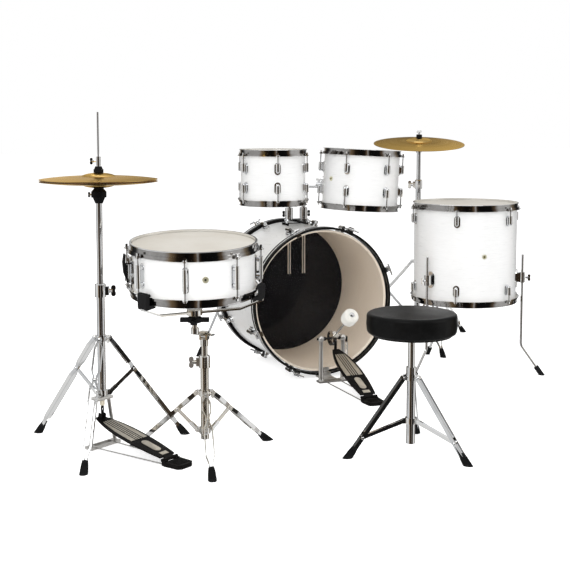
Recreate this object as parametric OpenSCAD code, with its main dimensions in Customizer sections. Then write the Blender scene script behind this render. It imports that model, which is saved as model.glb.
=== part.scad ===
// Five-piece acoustic drum kit with cymbals, stands, pedals and stool.
// The bass drum lies along +Y, the player sits at -Y, and the origin is the
// middle of the kick pedal's base, on the floor.

/* [Bass drum] */
// Outside diameter of the bass drum shell
bass_d = 559; // [508:1:610]
// Length of the bass drum shell
bass_depth = 406; // [356:1:457]
// Thickness of the bass drum shell
bass_wall = 8; // [6:0.5:12]
// Radial thickness of the wooden hoops
bass_hoop_t = 8.5; // [7:0.5:12]
// Width of the wooden hoops along the drum
bass_hoop_w = 38; // [32:1:44]
// Height of the bass drum's hoops above the floor
bass_lift = 9; // [8:0.5:14]
// Number of tension rods on each bass drum head
bass_rods = 8; // [6:2:10]

/* [Small tom] */
// Outside diameter of the small tom shell
small_d = 254; // [203:1:280]
// Length of the small tom shell
small_depth = 203; // [178:1:230]
// Height of the small tom's top edge
small_top = 894; // [870:1:920]

/* [Middle tom] */
// Outside diameter of the middle tom shell
middle_d = 305; // [280:1:330]
// Length of the middle tom shell
middle_depth = 229; // [200:1:254]
// Height of the middle tom's top edge
middle_top = 890; // [875:1:920]
// Lean of the middle tom to the right, in degrees
middle_lean = 3; // [0:0.5:5]

/* [Floor tom] */
// Outside diameter of the floor tom shell
floor_d = 406; // [356:1:420]
// Length of the floor tom shell
floor_depth = 381; // [340:1:410]
// Height of the floor tom's top edge
floor_top = 683; // [660:1:720]
// Diameter of the floor tom's leg rods
floor_leg_d = 10; // [9:0.5:12.5]

/* [Snare drum] */
// Outside diameter of the snare drum shell
snare_d = 356; // [330:1:368]
// Length of the snare drum shell
snare_depth = 140; // [127:1:165]
// Height of the snare drum's middle above the floor
snare_z = 584; // [570:1:610]
// Tilt of the snare drum towards the player, in degrees
snare_tilt = 4.5; // [0:0.5:8]

/* [Shells and hoops] */
// Thickness of the tom and snare shells
wall = 7; // [5:0.5:10]
// Thickness of the steel hoops
hoop_t = 2.2; // [1.6:0.1:3]
// Rise of the steel hoops above the drum's edge
hoop_rise = 8; // [5:0.5:12]
// Diameter of the tension rods
rod_d = 5.5; // [5:0.1:6.5]
// Width of the toms' lugs
lug_w = 24; // [18:1:28]
// Height of the toms' lugs
lug_h = 46; // [36:1:54]
// Number of tension rods on each tom head
tom_rods = 6; // [5:1:8]
// Number of tension rods on each snare head
snare_rods = 8; // [6:1:10]

/* [Cymbals] */
// Diameter of both hi-hat cymbals
hat_d = 356; // [330:1:380]
// Diameter of the crash cymbal
crash_d = 406; // [356:1:457]
// Thickness of the cymbals
cymbal_t = 1.4; // [1:0.1:2]
// Gap between the rims of the hi-hat cymbals at rest
hat_gap = 5; // [4:0.5:12]
// Tilt of the crash cymbal towards the player, in degrees
crash_tilt = 8; // [0:0.5:15]

/* [Stands] */
// Outside diameter of the stands' lower tubes
tube_d = 25; // [22:0.5:28]
// Outside diameter of the stands' upper tubes
mast_d = 19; // [16:0.5:20]
// Wall of the stands' tubes
tube_wall = 1.5; // [1.2:0.1:2]
// Width of the leg straps
strap_w = 12; // [10:0.5:16]
// Thickness of the leg straps
strap_t = 3; // [2:0.25:4]
// Reach of the hi-hat stand's feet
hat_reach = 275; // [230:5:320]
// Reach of the snare stand's feet
snare_reach = 240; // [210:5:280]
// Reach of the crash stand's feet
crash_reach = 340; // [300:5:400]
// Reach of the stool's feet
stool_reach = 205; // [190:1:215]

/* [Stool] */
// Diameter of the stool's seat
seat_d = 275; // [250:1:330]
// Thickness of the stool's cushion
seat_t = 62; // [45:1:80]
// Height of the cushion's underside above the floor
seat_z = 366; // [364:1:420]

/* [Pedals] */
// Length of a footboard from its hinge to its toe
board_l = 310; // [295:1:320]
// Greatest width of a footboard
board_w = 84; // [76:1:92]
// Thickness of a footboard
board_t = 5; // [4:0.5:7]
// Height of the kick pedal's axle above the floor
axle_z = 170; // [160:1:180]
// Length of the kick beater's shaft
beater_l = 150; // [140:1:160]
// Diameter of the kick beater's felt
felt_d = 58; // [45:1:64]

/* [Hidden] */
$fn = 64;

// Colours
white_wrap = "#f1f1ee";
steel = "#c9cbd0";
black = "#1b1b1c";
bronze = "#c79a4a";
coated = "#ddd9cf";
clear = [0.85, 0.88, 0.9, 0.35];
cream = "#efeae0";

// Clearances
slip = 0.3;         // between faces that slide past each other
run = 0.06;         // radial play of a pin in its bore
seat = 0.3;         // soft or loose piece above what carries it
drill = 0.6;        // radial play of a bolt or rod in a drilled hole

// Drum edges and hoops, measured outwards from the shell and up from its edge
film_t = 0.5;       // thickness of a drum head's film
ring_w = 5.2;       // radial width of a head's flesh hoop
ring_top = -9;      // top of the flesh hoop
ring_h = 6;         // height of the flesh hoop
hoop_in = 1.3;      // inner face of the steel hoop
hoop_skirt = 6.4;   // inner face of its skirt
hoop_low = -17;     // underside of its lower flange
hoop_flange = 13;   // reach of its lower flange
rod_out = 16;       // tension rods' distance from the shell
ear_up = 0.4;       // rod ears' height above and below the flange
rod_hole = rod_d / 2 + drill;

// Bass drum places: s runs along the drum from the batter hoop's face
bass_recess = 19;
bass_hoop_r = bass_d / 2 + 4 + bass_hoop_t;
bass_z = bass_lift + bass_hoop_r;
bass_y = 75;
bass_len = bass_depth + 2 * bass_recess;
bass_rod_out = bass_hoop_r - bass_d / 2 + 9;

// Drum places on the floor plan
small_at = [-159, 215];
middle_at = [227, 221];
floor_at = [578, -14];
snare_at = [-794, -779];
hat_at = [-1006, -498];
snare_pole = [-740, -704];
crash_at = [678, 554];
stool_at = [-151, -910];
heading = -22;      // plan angle that the stands and the snare are turned by

small_mid = small_top - hoop_rise - small_depth / 2;
middle_mid = middle_top - hoop_rise - middle_depth / 2;
floor_mid = floor_top - hoop_rise - floor_depth / 2;

// Angles of the first tension rod round each drum
small_turn = 16;
middle_turn = -17;
floor_turn = -10;

// ---------------------------------------------------------------- shapes

// Copies its children at n even steps round Z, from angle a0
module ring_of(n, a0 = 0) {
    for (i = [0 : n - 1]) rotate([0, 0, a0 + i * 360 / n]) children();
}

// Round bar of diameter d from point a to point b
module bar(a, b, d) {
    v = b - a;
    translate(a) rotate([0, atan2(norm([v.x, v.y]), v.z), atan2(v.y, v.x)])
        cylinder(h = norm(v), d = d);
}

// Tube of outside diameter d and wall t
module tube(h, d, t) {
    difference() {
        cylinder(h = h, d = d);
        translate([0, 0, -1]) cylinder(h = h + 2, d = d - 2 * t);
    }
}

// Flat outline of a round-ended strap from p to q
module strap_2d(p, q, w) {
    v = q - p;
    translate(p) circle(d = w);
    translate(q) circle(d = w);
    translate(p) rotate(atan2(v.y, v.x)) translate([0, -w * 0.499]) square([norm(v), w * 0.998]);
}

// Plate drawn in the upright X-Z plane, t thick about y = 0
module upright(t) {
    rotate([90, 0, 0]) translate([0, 0, -t / 2]) linear_extrude(t) children();
}

// Round-ended plate w wide and h tall, lying on the Y-Z plane at x = 0
module oval_plate(w, h, t) {
    rotate([90, 0, 90]) linear_extrude(t)
        strap_2d([0, -(h - w) / 2], [0, (h - w) / 2], w);
}

// Washer
module washer(d, hole, h) {
    difference() {
        cylinder(h = h, d = d);
        translate([0, 0, -1]) cylinder(h = h + 2, d = hole);
    }
}

// Wing screw along +Z: threaded stem below, hub and two ears above
module wing_screw(stem_d, stem_l, span) {
    translate([0, 0, -stem_l]) cylinder(h = stem_l, d = stem_d);
    cylinder(h = span * 0.32, d1 = span * 0.42, d2 = span * 0.3);
    translate([0, 0, span * 0.2]) upright(span * 0.12) difference() {
        strap_2d([-span * 0.3, span * 0.22], [span * 0.3, span * 0.22], span * 0.42);
        translate([0, span * 0.62]) circle(d = span * 0.5);
        translate([-span / 2, -span]) square([span, span]);
    }
}

// Rubber foot on the end of a leg: the leg comes down along (dx, dz), and the
// sole is cut flat on the floor at z = 0, r out from the stand's middle
module rubber_foot(r, lean, d, l) {
    intersection() {
        translate([r, 0, 0]) rotate([0, -lean, 0]) translate([0, 0, -l * 0.3]) {
            cylinder(h = l * 0.75, d1 = d, d2 = d * 0.86);
            translate([0, 0, l * 0.75]) cylinder(h = l * 0.25, d1 = d * 0.86, d2 = d * 0.6);
        }
        translate([r - 3 * l, -l, 0]) cube([6 * l, 2 * l, 2 * l]);
    }
}

// ---------------------------------------------------------------- drums

// Cylindrical shell with bevelled edges, standing about z = 0
module shell(d, depth, t) {
    r = d / 2;
    h = depth / 2;
    rotate_extrude($fn = 96) polygon([
        [r - t, -h + t * 0.7], [r - 1, -h], [r, -h + 1], [r, h - 1],
        [r - 1, h], [r - t, h - t * 0.7]
    ]);
}

// Drum head with its film, collar and flesh hoop, for an edge at z = 0
module head(d) {
    r = d / 2;
    rotate_extrude($fn = 96) polygon([
        [0, 0], [r - 0.8, 0], [r + 0.3, -1.1], [r + 0.3, ring_top - ring_h],
        [r + ring_w, ring_top - ring_h], [r + ring_w, ring_top],
        [r + 0.8, ring_top], [r + 0.8, -0.9], [r - 0.6, film_t], [0, film_t]
    ]);
}

// Triple-flanged steel hoop for an edge at z = 0, with drilled ears
module hoop(d, n, turn) {
    r = d / 2;
    t = hoop_t;
    difference() {
        union() {
            rotate_extrude($fn = 96) polygon([
                [r + hoop_in, ring_top], [r + hoop_skirt, ring_top],
                [r + hoop_skirt, hoop_low], [r + hoop_flange, hoop_low],
                [r + hoop_flange, hoop_low + t], [r + hoop_skirt + t, hoop_low + t],
                [r + hoop_skirt + t, ring_top + t], [r + hoop_in + t, ring_top + t],
                [r + hoop_in + t, hoop_rise - t], [r + hoop_in + 2.4 * t, hoop_rise - t],
                [r + hoop_in + 2.4 * t, hoop_rise - t / 2],
                [r + hoop_in + 2 * t, hoop_rise], [r + hoop_in, hoop_rise]
            ]);
            ring_of(n, turn) translate([r + rod_out, 0, hoop_low - ear_up])
                cylinder(h = t + 2 * ear_up, d = rod_d + 11);
        }
        ring_of(n, turn) translate([r + rod_out, 0, hoop_low - 1]) cylinder(h = t + 2, r = rod_hole);
    }
}

// Tension rod with washer and square head, hanging down from a hoop's ear
module tension_rod(l) {
    translate([0, 0, hoop_low + hoop_t + ear_up]) {
        washer(rod_d + 6, rod_d + 0.8, 1.2);
        translate([0, 0, 1.2]) cylinder(h = 2.6, d = rod_d + 5);
        translate([-3, -3, 3.8]) cube([6, 6, 7]);
    }
    translate([0, 0, -l]) cylinder(h = l + hoop_low + hoop_t + ear_up + 1.2, d = rod_d);
}

// Oval lug bolted on a shell's outside, its boss round the rod above it
module lug(w, h, out) {
    oval_plate(w, h, out * 0.3);
    translate([out * 0.3, 0, 0]) oval_plate(w * 0.74, h * 0.8, out * 0.32);
    difference() {
        translate([out, 0, -h * 0.2]) cylinder(h = h * 0.62, d = w * 0.62);
        translate([out, 0, h * 0.2]) cylinder(h = h, d = rod_d + 0.3);
    }
    translate([out, 0, -h * 0.2]) sphere(d = w * 0.62);
    translate([out * 0.55, -w * 0.25, -h * 0.18]) cube([out * 0.45, w * 0.5, h * 0.5]);
}

// Both rows of lugs and rods of a tom whose middle is at z = 0; the lugs'
// middles are "in" from the shell's edges
module tom_fittings(d, depth, n, turn, in) {
    for (side = [0, 1]) mirror([0, 0, side]) ring_of(n, turn) {
        translate([d / 2, 0, depth / 2 - in]) lug(lug_w, lug_h, rod_out);
        translate([d / 2 + rod_out, 0, depth / 2]) tension_rod(in - lug_h * 0.2 - 0.4);
    }
}

// ---------------------------------------------------------------- bass drum

// Places its children in the bass drum's own frame: +Z from the player's side
// to the front, zero at the batter hoop's face
module bass_frame() {
    translate([0, bass_y, bass_z]) rotate([-90, 0, 0]) children();
}

hold_y = 360;               // tom holder's place along the drum's top
hold_x = 32;                // each holder tube's distance from the middle
hold_d = 16;                // holder tubes' diameter
arm_z = 735;                // height of the tom arms
hold_low = 376;             // lower end of the holder tubes, inside the drum
bass_top = bass_z + bass_d / 2;

module bass_shell() {
    color(white_wrap) difference() {
        bass_frame() translate([0, 0, bass_recess + bass_depth / 2])
            shell(bass_d, bass_depth, bass_wall);
        for (s = [-1, 1]) translate([s * hold_x, hold_y, bass_z])
            cylinder(h = bass_d, d = hold_d + 2 * drill);
        translate([0, hold_y - 110, bass_z]) cylinder(h = bass_d, d = 12);
    }
}

// Head whose flesh hoop is pressed by the wooden hoop's edge
module bass_head() {
    r = bass_d / 2;
    rotate_extrude($fn = 96) polygon([
        [0, bass_recess - film_t], [r - 1, bass_recess - film_t],
        [r + 0.8, bass_recess + 0.8], [r + 0.8, bass_hoop_w],
        [r + 3 + bass_hoop_t * 0.5, bass_hoop_w], [r + 3 + bass_hoop_t * 0.5, bass_hoop_w + 8],
        [r + 0.3, bass_hoop_w + 8], [r + 0.3, bass_recess + 1.1],
        [r - 0.8, bass_recess], [0, bass_recess]
    ]);
}

module bass_batter_head() { color(clear) bass_frame() bass_head(); }

module bass_front_head() {
    color(black) bass_frame() translate([0, 0, bass_len]) mirror([0, 0, 1]) bass_head();
}

// Two wooden hoops with rounded outer edges
module bass_hoops() {
    r = bass_hoop_r;
    t = bass_hoop_t;
    e = 2;
    color(black) bass_frame() for (s = [0, bass_len - bass_hoop_w])
        translate([0, 0, s]) rotate_extrude($fn = 96) polygon([
            [r - t, e / 2], [r - t + e / 2, 0], [r - e, 0], [r, e],
            [r, bass_hoop_w - e], [r - e, bass_hoop_w], [r - t, bass_hoop_w]
        ]);
}

bass_lug_in = 92;           // lugs' distance from the hoops' faces
spur_turn = 8;              // spur brackets' angle below the drum's middle
spur_s = bass_len - bass_hoop_w - 46;   // their place along the drum
spur_hub = 26;              // spur pivots' distance from the shell

module bass_lugs() {
    color(steel) bass_frame() {
        for (side = [0, 1]) translate([0, 0, side * bass_len]) mirror([0, 0, side])
            ring_of(bass_rods, 180 / bass_rods) translate([bass_d / 2, 0, bass_lug_in])
                mirror([0, 0, 1]) lug(26, 54, bass_rod_out);
        for (a = [spur_turn, 180 - spur_turn]) rotate([0, 0, a])
            translate([bass_d / 2, 0, spur_s]) spur_bracket();
    }
}

// Cast plate with a toothed round boss that the spur turns on
module spur_bracket() {
    oval_plate(40, 64, 6);
    translate([6, 0, 0]) rotate([0, 90, 0]) cylinder(h = 8, d1 = 40, d2 = 34);
    translate([14, 0, 0]) rotate([0, 90, 0]) cylinder(h = spur_hub - 7, d = 10);
}

// Claw hooked over the hoop, the rod through it and the rod's T handle
module claw_and_rod(handle) {
    r = bass_hoop_r;
    rod_r = bass_d / 2 + bass_rod_out;
    difference() {
        translate([0, 10, 0]) rotate([90, 0, 0]) linear_extrude(20) polygon([
            [r - bass_hoop_t - 4, -4], [r + 2, -5], [r + 16, -5], [r + 18, -3],
            [r + 18, 2], [r + 14, 6], [r + 5, 10], [r + 3, 26], [r, 26], [r, 0],
            [r - bass_hoop_t - 4, 0]
        ]);
        translate([rod_r, 0, -10]) cylinder(h = 30, r = rod_hole + 0.5);
    }
    translate([rod_r, 0, -5]) mirror([0, 0, 1]) washer(rod_d + 8, rod_d + 1, 1.5);
    translate([rod_r, 0, -12]) {
        cylinder(h = 5.5, d = rod_d + 5);
        cylinder(h = bass_lug_in - 12, d = rod_d);
        translate([0, 0, -7]) cylinder(h = 7, d1 = 8, d2 = rod_d + 4);
        if (handle) for (s = [-1, 1]) {
            translate([0, 0, -7]) rotate([90 * s, 0, 0]) cylinder(h = 22, d1 = 8, d2 = 6);
            translate([0, -22 * s, -7]) sphere(d = 7.5);
        }
    }
}

module bass_claws() {
    color(steel) bass_frame() for (side = [0, 1])
        translate([0, 0, side * bass_len]) mirror([0, 0, side])
            for (i = [0 : bass_rods - 1]) rotate([0, 0, 180 / bass_rods + i * 360 / bass_rods])
                claw_and_rod(true);
}

// Holder: base casting on the drum, two tubes through it, clamps and clevises
module tom_holder() {
    color(steel) {
        difference() {
            union() {
                translate([-48, hold_y - 38, bass_top - 8]) cube([96, 76, 14]);
                translate([-44, hold_y - 20, bass_top + 6]) cube([88, 40, 16]);
                for (s = [-1, 1]) translate([s * hold_x, hold_y, bass_top])
                    cylinder(h = 68, d = hold_d + 16);
            }
            translate([0, hold_y - 50, bass_z]) rotate([-90, 0, 0])
                cylinder(h = 100, r = bass_d / 2 + 0.05);
            for (s = [-1, 1]) translate([s * hold_x, hold_y, bass_z])
                cylinder(h = bass_d, d = hold_d + 0.2);
        }
        for (s = [-1, 1]) {
            translate([s * (hold_x + hold_d / 2 + 5), hold_y, bass_top + 44])
                rotate([0, s * 90, 0]) wing_screw(7, 10, 26);
            translate([s * hold_x, hold_y, hold_low])
                tube(arm_z - 22 - hold_low, hold_d, tube_wall);
            translate([s * hold_x, hold_y, arm_z]) rotate([0, 0, s < 0 ? small_arm_turn : middle_arm_turn])
                clevis(arm_pivot_d, arm_knuckle, 22, hold_d + 10);
        }
    }
}

arm_pivot_d = 26;           // diameter of the tom arms' knuckles
arm_knuckle = 16;           // width of the tom arms' knuckles
function turn_of(c, s) = atan2(c.y - hold_y, c.x - s * hold_x);
small_arm_turn = turn_of(small_at, -1);
middle_arm_turn = turn_of(middle_at, 1);

// Two ears with a pin across them on a round foot: the ears stand across Y,
// "w" apart, and the foot reaches "drop" below the pin
module clevis(d, w, drop, foot_d) {
    for (s = [-1, 1]) translate([0, s * (w / 2 + slip + 2.5), 0]) upright(5) {
        circle(d = d - 2);
        translate([-d / 2 + 1, -d * 0.62]) square([d - 2, d * 0.62]);
    }
    rotate([90, 0, 0]) translate([0, 0, -w / 2 - slip - 7]) cylinder(h = w + 2 * slip + 14, d = 8);
    translate([0, 0, -drop - 14]) cylinder(h = 14 + drop - d * 0.62 + 1, d = max(foot_d, d));
}

// The arm that turns in a clevis: knuckle on the pin, then a rod "l" long
module clevis_arm(d, w, l, rod) {
    difference() {
        union() {
            rotate([90, 0, 0]) translate([0, 0, -w / 2]) cylinder(h = w, d = d);
            rotate([0, 90, 0]) cylinder(h = l, d = rod);
        }
        rotate([90, 0, 0]) translate([0, 0, -w]) cylinder(h = 2 * w, r = 4 + run);
    }
}

// Spur: eye on the bracket's boss, threaded rod and a rubber tip on the floor
module spur(side) {
    a = side < 0 ? 180 - spur_turn : spur_turn;
    hub = [cos(a) * (bass_d / 2 + spur_hub), bass_y + spur_s, bass_z - sin(a) * (bass_d / 2 + spur_hub)];
    out = [cos(a), 0, -sin(a)];
    eye = hub - out * 4;
    tip = [side * (bass_d / 2 + 58.5), bass_y + spur_s + 185, 0];
    end = tip + [0, 0, 16];
    v = (end - hub) / norm(end - hub);
    color(steel) {
        difference() {
            union() {
                bar(hub - out * 11, hub + out * 7, 26);
                bar(hub + v * 6, end, 10);
                bar(hub + v * 8, hub + v * 48, 17);
            }
            bar(hub - out * 20, hub + out * 20, 10 + 2 * run);
        }
    }
    color(black) difference() {
        bar(end - v * 30, end + v * 24, 20);
        bar(end - v * 60, end + v * 0.1, 10.4);
        translate(tip - [40, 40, 80]) cube([80, 80, 80]);
    }
}

module spur_left() { spur(-1); }
module spur_right() { spur(1); }

// ---------------------------------------------------------------- toms

// Two heads, or two hoops, of a drum whose middle is at z = 0
module both_ends(depth) {
    for (side = [0, 1]) mirror([0, 0, side]) translate([0, 0, depth / 2]) children();
}

module small_frame() { translate([small_at.x, small_at.y, small_mid]) children(); }

module middle_frame() {
    translate([middle_at.x, middle_at.y, middle_mid]) rotate([0, middle_lean, 0]) children();
}

small_lug_in = small_depth / 2 - 37;
middle_lug_in = middle_depth / 2 - 44;

// Shell with its vent hole
module vented_shell(d, depth, vent_turn) {
    difference() {
        shell(d, depth, wall);
        rotate([0, 0, vent_turn]) rotate([0, 90, 0]) cylinder(h = d, d = 10);
    }
}

// Eyelet that lines the vent hole
module vent_eyelet(d, vent_turn) {
    rotate([0, 0, vent_turn]) translate([d / 2 - wall - 1, 0, 0]) rotate([0, 90, 0]) {
        washer(9.6, 7, wall + 2);
        translate([0, 0, wall + 1]) washer(18, 7, 1.5);
    }
}

// Arm from the holder's clevis to the drum's bracket
module tom_arm(at, s, d) {
    p = [s * hold_x, hold_y];
    translate([p.x, p.y, arm_z]) rotate([0, 0, turn_of(at, s)])
        clevis_arm(arm_pivot_d, arm_knuckle, norm(at - p) - d / 2 - 12, 11);
}

// Bracket on a tom's shell, with the boss and screw that hold the arm's end
module tom_bracket(d, turn, z) {
    rotate([0, 0, turn + 180]) translate([d / 2, 0, z]) {
        oval_plate(44, 74, 6);
        translate([5, 0, 0]) oval_plate(30, 50, 6);
        translate([10, 0, 0]) rotate([0, 90, 0]) cylinder(h = 22, d = 24);
        translate([22, 0, 12]) wing_screw(7, 4, 24);
    }
}

module small_tom_shell() {
    color(white_wrap) small_frame() vented_shell(small_d, small_depth, small_turn + 90);
}

module small_tom_heads() {
    color(coated) small_frame() both_ends(small_depth) head(small_d);
}

module small_tom_hoops() {
    color(steel) small_frame() both_ends(small_depth) hoop(small_d, tom_rods, small_turn);
}

module small_tom_lugs() {
    color(steel) {
        small_frame() {
            tom_fittings(small_d, small_depth, tom_rods, small_turn, small_lug_in);
            vent_eyelet(small_d, small_turn + 90);
            tom_bracket(small_d, small_arm_turn, arm_z - small_mid);
        }
        tom_arm(small_at, -1, small_d);
    }
}

module middle_tom_shell() {
    color(white_wrap) middle_frame() vented_shell(middle_d, middle_depth, middle_turn - 150);
}

module middle_tom_heads() {
    color(coated) middle_frame() both_ends(middle_depth) head(middle_d);
}

module middle_tom_hoops() {
    color(steel) middle_frame() both_ends(middle_depth) hoop(middle_d, tom_rods, middle_turn);
}

module middle_tom_lugs() {
    color(steel) {
        middle_frame() {
            tom_fittings(middle_d, middle_depth, tom_rods, middle_turn, middle_lug_in);
            vent_eyelet(middle_d, middle_turn - 150);
            tom_bracket(middle_d, middle_arm_turn, arm_z - middle_mid);
        }
        tom_arm(middle_at, 1, middle_d);
    }
}

// ---------------------------------------------------------------- floor tom

floor_leg_out = floor_d / 2 + 25;   // leg rods' distance from the drum's middle
floor_leg_turns = [200, 320, 88];   // left, right and back legs
floor_bracket_z = 388;
floor_leg_top = 478;
floor_bend_z = 116;
floor_lug_in = 56;

module floor_frame() { translate([floor_at.x, floor_at.y, floor_mid]) children(); }

module floor_tom_shell() {
    color(white_wrap) floor_frame() vented_shell(floor_d, floor_depth, floor_turn - 90);
}

module floor_tom_heads() {
    color(coated) floor_frame() both_ends(floor_depth) head(floor_d);
}

module floor_tom_hoops() {
    color(steel) floor_frame() both_ends(floor_depth) hoop(floor_d, tom_rods, floor_turn);
}

// Leg bracket: plate on the shell, bored block for the rod and a wing screw
module leg_bracket() {
    r = floor_d / 2;
    difference() {
        union() {
            translate([r, 0, 0]) oval_plate(40, 64, 6);
            translate([floor_leg_out, 0, -20]) cylinder(h = 40, d = floor_leg_d + 14);
            translate([r + 5, -11, -18]) cube([floor_leg_out - r - 5, 22, 36]);
        }
        translate([floor_leg_out, 0, -30]) cylinder(h = 60, r = floor_leg_d / 2 + run);
    }
    translate([floor_leg_out + floor_leg_d / 2 + 11, 0, 0]) rotate([0, 90, 0]) wing_screw(7, 5, 26);
}

module floor_tom_lugs() {
    color(steel) {
        floor_frame() {
            tom_fittings(floor_d, floor_depth, tom_rods, floor_turn, floor_lug_in);
            vent_eyelet(floor_d, floor_turn - 90);
        }
        translate([floor_at.x, floor_at.y, floor_bracket_z])
            for (a = floor_leg_turns) rotate([0, 0, a]) leg_bracket();
    }
}

// Bent leg rod with a knurled top end and a rubber foot
module floor_leg(turn) {
    d = floor_leg_d;
    reach = 76;
    end = [floor_leg_out + reach, 0, 12];
    a = atan2(reach, floor_bend_z - end.z);
    v = [sin(a), 0, -cos(a)];
    bend = [floor_leg_out, 0, floor_bend_z];
    round_r = 28;
    cut = round_r * tan(a / 2);
    translate([floor_at.x, floor_at.y, 0]) rotate([0, 0, turn]) {
        color(steel) {
            translate(bend + [0, 0, cut]) cylinder(h = floor_leg_top - floor_bend_z - cut, d = d);
            translate([floor_leg_out, 0, floor_leg_top]) cylinder(h = 2, d1 = d, d2 = d - 3);
            translate(bend + [round_r, 0, cut]) rotate([90, 0, 0]) rotate([0, 0, 180])
                rotate_extrude(angle = a) translate([round_r, 0]) circle(d = d);
            bar(bend + v * cut, end, d);
        }
        color(black) difference() {
            bar(end - v * 26, end + v * 26, d + 10);
            bar(end - v * 60, end + v * 0.1, d + 0.2);
            translate([end.x - 50, -50, -60]) cube([100, 100, 60]);
        }
    }
}

module floor_leg_left() { floor_leg(floor_leg_turns[0]); }
module floor_leg_right() { floor_leg(floor_leg_turns[1]); }
module floor_leg_back() { floor_leg(floor_leg_turns[2]); }

// ---------------------------------------------------------------- snare drum

// The snare's own frame: zero at its middle, tilted towards the player
module snare_frame() {
    translate([snare_at.x, snare_at.y, snare_z]) rotate([0, 0, heading])
        rotate([snare_tilt, 0, 0]) children();
}

snare_low = -snare_depth / 2 - hoop_rise;
strainer_turn = 198;        // throw-off's place round the shell
snare_lug_turn = 42.5;
snare_wires_w = 44;         // width of the snare wires
wire_rows = 10;

module snare_shell() {
    color(white_wrap) snare_frame() vented_shell(snare_d, snare_depth, 285);
}

module snare_heads() {
    color(coated) snare_frame() both_ends(snare_depth) head(snare_d);
}

module snare_hoops() {
    color(steel) snare_frame() both_ends(snare_depth) hoop(snare_d, snare_rods, snare_lug_turn);
}

// Tube lug: base plate, two posts and a long tube that takes both rods
module tube_lug(h) {
    oval_plate(17, h, 3);
    for (s = [-1, 1]) translate([3, 0, s * (h / 2 - 14)]) rotate([0, 90, 0])
        cylinder(h = rod_out - 3, d1 = 13, d2 = 10);
    difference() {
        translate([rod_out, 0, -h / 2 + 4]) cylinder(h = h - 8, d = 12);
        for (s = [-1, 1]) translate([rod_out, 0, s * (h / 2 - 4) - 12])
            cylinder(h = 24, d = rod_d + 0.4);
    }
}

module snare_lugs() {
    h = snare_depth - 66;
    color(steel) snare_frame() {
        ring_of(snare_rods, snare_lug_turn) {
            translate([snare_d / 2, 0, 0]) tube_lug(h);
            both_ends(snare_depth) translate([snare_d / 2 + rod_out, 0, 0])
                tension_rod(snare_depth / 2 - h / 2 + 14);
        }
        vent_eyelet(snare_d, 285);
    }
}

// Throw-off on one side of the shell and the wires' butt plate opposite
module snare_strainer() {
    r = snare_d / 2;
    color(steel) snare_frame() {
        rotate([0, 0, strainer_turn]) {
            translate([r, 0, -4]) oval_plate(34, 92, 4);
            for (s = [-1, 1]) translate([r + 4, s * 12 - 2, -30]) cube([16, 4, 52]);
            translate([r + 4, -10, 6]) cube([11, 20, 12]);
            translate([r + 13, 0, -24]) rotate([90, 0, 0]) translate([0, 0, -17])
                cylinder(h = 34, d = 5);
            translate([r + 10, 0, 18]) cylinder(h = 12, d = 6);
            translate([r + 10, 0, 30]) cylinder(h = 9, d = 14, $fn = 40);
            translate([r + 5, -11, -48]) cube([7, 22, 12]);
        }
        rotate([0, 0, strainer_turn + 180]) {
            translate([r, 0, -22]) oval_plate(34, 52, 4);
            translate([r + 4, -13, -44]) cube([8, 26, 22]);
            for (s = [-1, 1]) translate([r + 12, s * 7, -33]) rotate([0, 90, 0])
                cylinder(h = 4, d = 7);
        }
    }
}

// Lever of the throw-off: a curved arm that swings out and down about its pin
module strainer_lever() {
    r = snare_d / 2;
    color(black) snare_frame() rotate([0, 0, strainer_turn]) translate([r + 13, 0, -24])
        difference() {
            union() {
                rotate([90, 0, 0]) translate([0, 0, -9.5]) cylinder(h = 19, d = 13);
                upright(19) polygon([[0, 0], [6, 0], [13, 20], [15, 50], [11, 74], [7, 74],
                    [9, 50], [5, 24], [0, 6]]);
            }
            rotate([90, 0, 0]) translate([0, 0, -20]) cylinder(h = 40, r = 2.5 + run);
        }
}

// Coiled wires between two end plates under the lower head, and their straps
module snare_wires() {
    z = -snare_depth / 2 - film_t;
    l = snare_d * 0.72;
    r = snare_d / 2;
    color(steel) snare_frame() rotate([0, 0, strainer_turn]) {
        for (s = [-1, 1]) {
            translate([s * l / 2 - 9, -snare_wires_w / 2, z - 2.6]) cube([18, snare_wires_w, 1.6]);
            for (k = [-1, 1]) bar([s * (l / 2 + 9), k * 12, z - 1.8], [s * (r + 1), k * 12, z - 1.6], 1.6);
        }
        for (i = [0 : wire_rows - 1])
            translate([-l / 2, (i - (wire_rows - 1) / 2) * snare_wires_w / wire_rows, z - 1.7])
                rotate([0, 90, 0]) cylinder(h = l, d = 1.8);
    }
}

// ---------------------------------------------------------------- stand parts

ear_w = 6;                  // thickness of the collars' ears
pin_d = 5;                  // leg rivets
foot_d = 27;                // rubber feet
foot_l = 48;
spread = 12;                // half the gap between a leg's bowed straps
plug_bore = 17;             // hole through the plug at a stand tube's foot

// Collar round a tube with three ears that the legs or struts turn on; a
// pin_hole drills the ears for turning pins
module collar(h, bore, ear_r, turn, pin_hole = 0, w = ear_w) {
    difference() {
        union() {
            cylinder(h = h, d = bore + 9);
            ring_of(3, turn) translate([0, 0, h / 2]) upright(w)
                strap_2d([bore / 2 + 2, 0], [ear_r, 0], h * 0.9);
        }
        translate([0, 0, -1]) cylinder(h = h + 2, d = bore);
        if (pin_hole > 0) ring_of(3, turn) translate([ear_r, w, h / 2])
            rotate([90, 0, 0]) cylinder(h = 2 * w, d = pin_hole);
    }
}

// Edge view of one bowed strap: pinched at the collar, the strut and the foot
module bowed_2d(len, joint) {
    y0 = (ear_w + strap_t) / 2 + slip;
    points = [[-4, y0], [10, y0], [30, spread], [joint - 30, spread], [joint - 10, y0],
        [joint + 10, y0], [joint + 30, spread], [len - 62, spread], [len - 36, y0], [len, y0]];
    for (i = [0 : len(points) - 2]) strap_2d(points[i], points[i + 1], strap_t);
}

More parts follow.
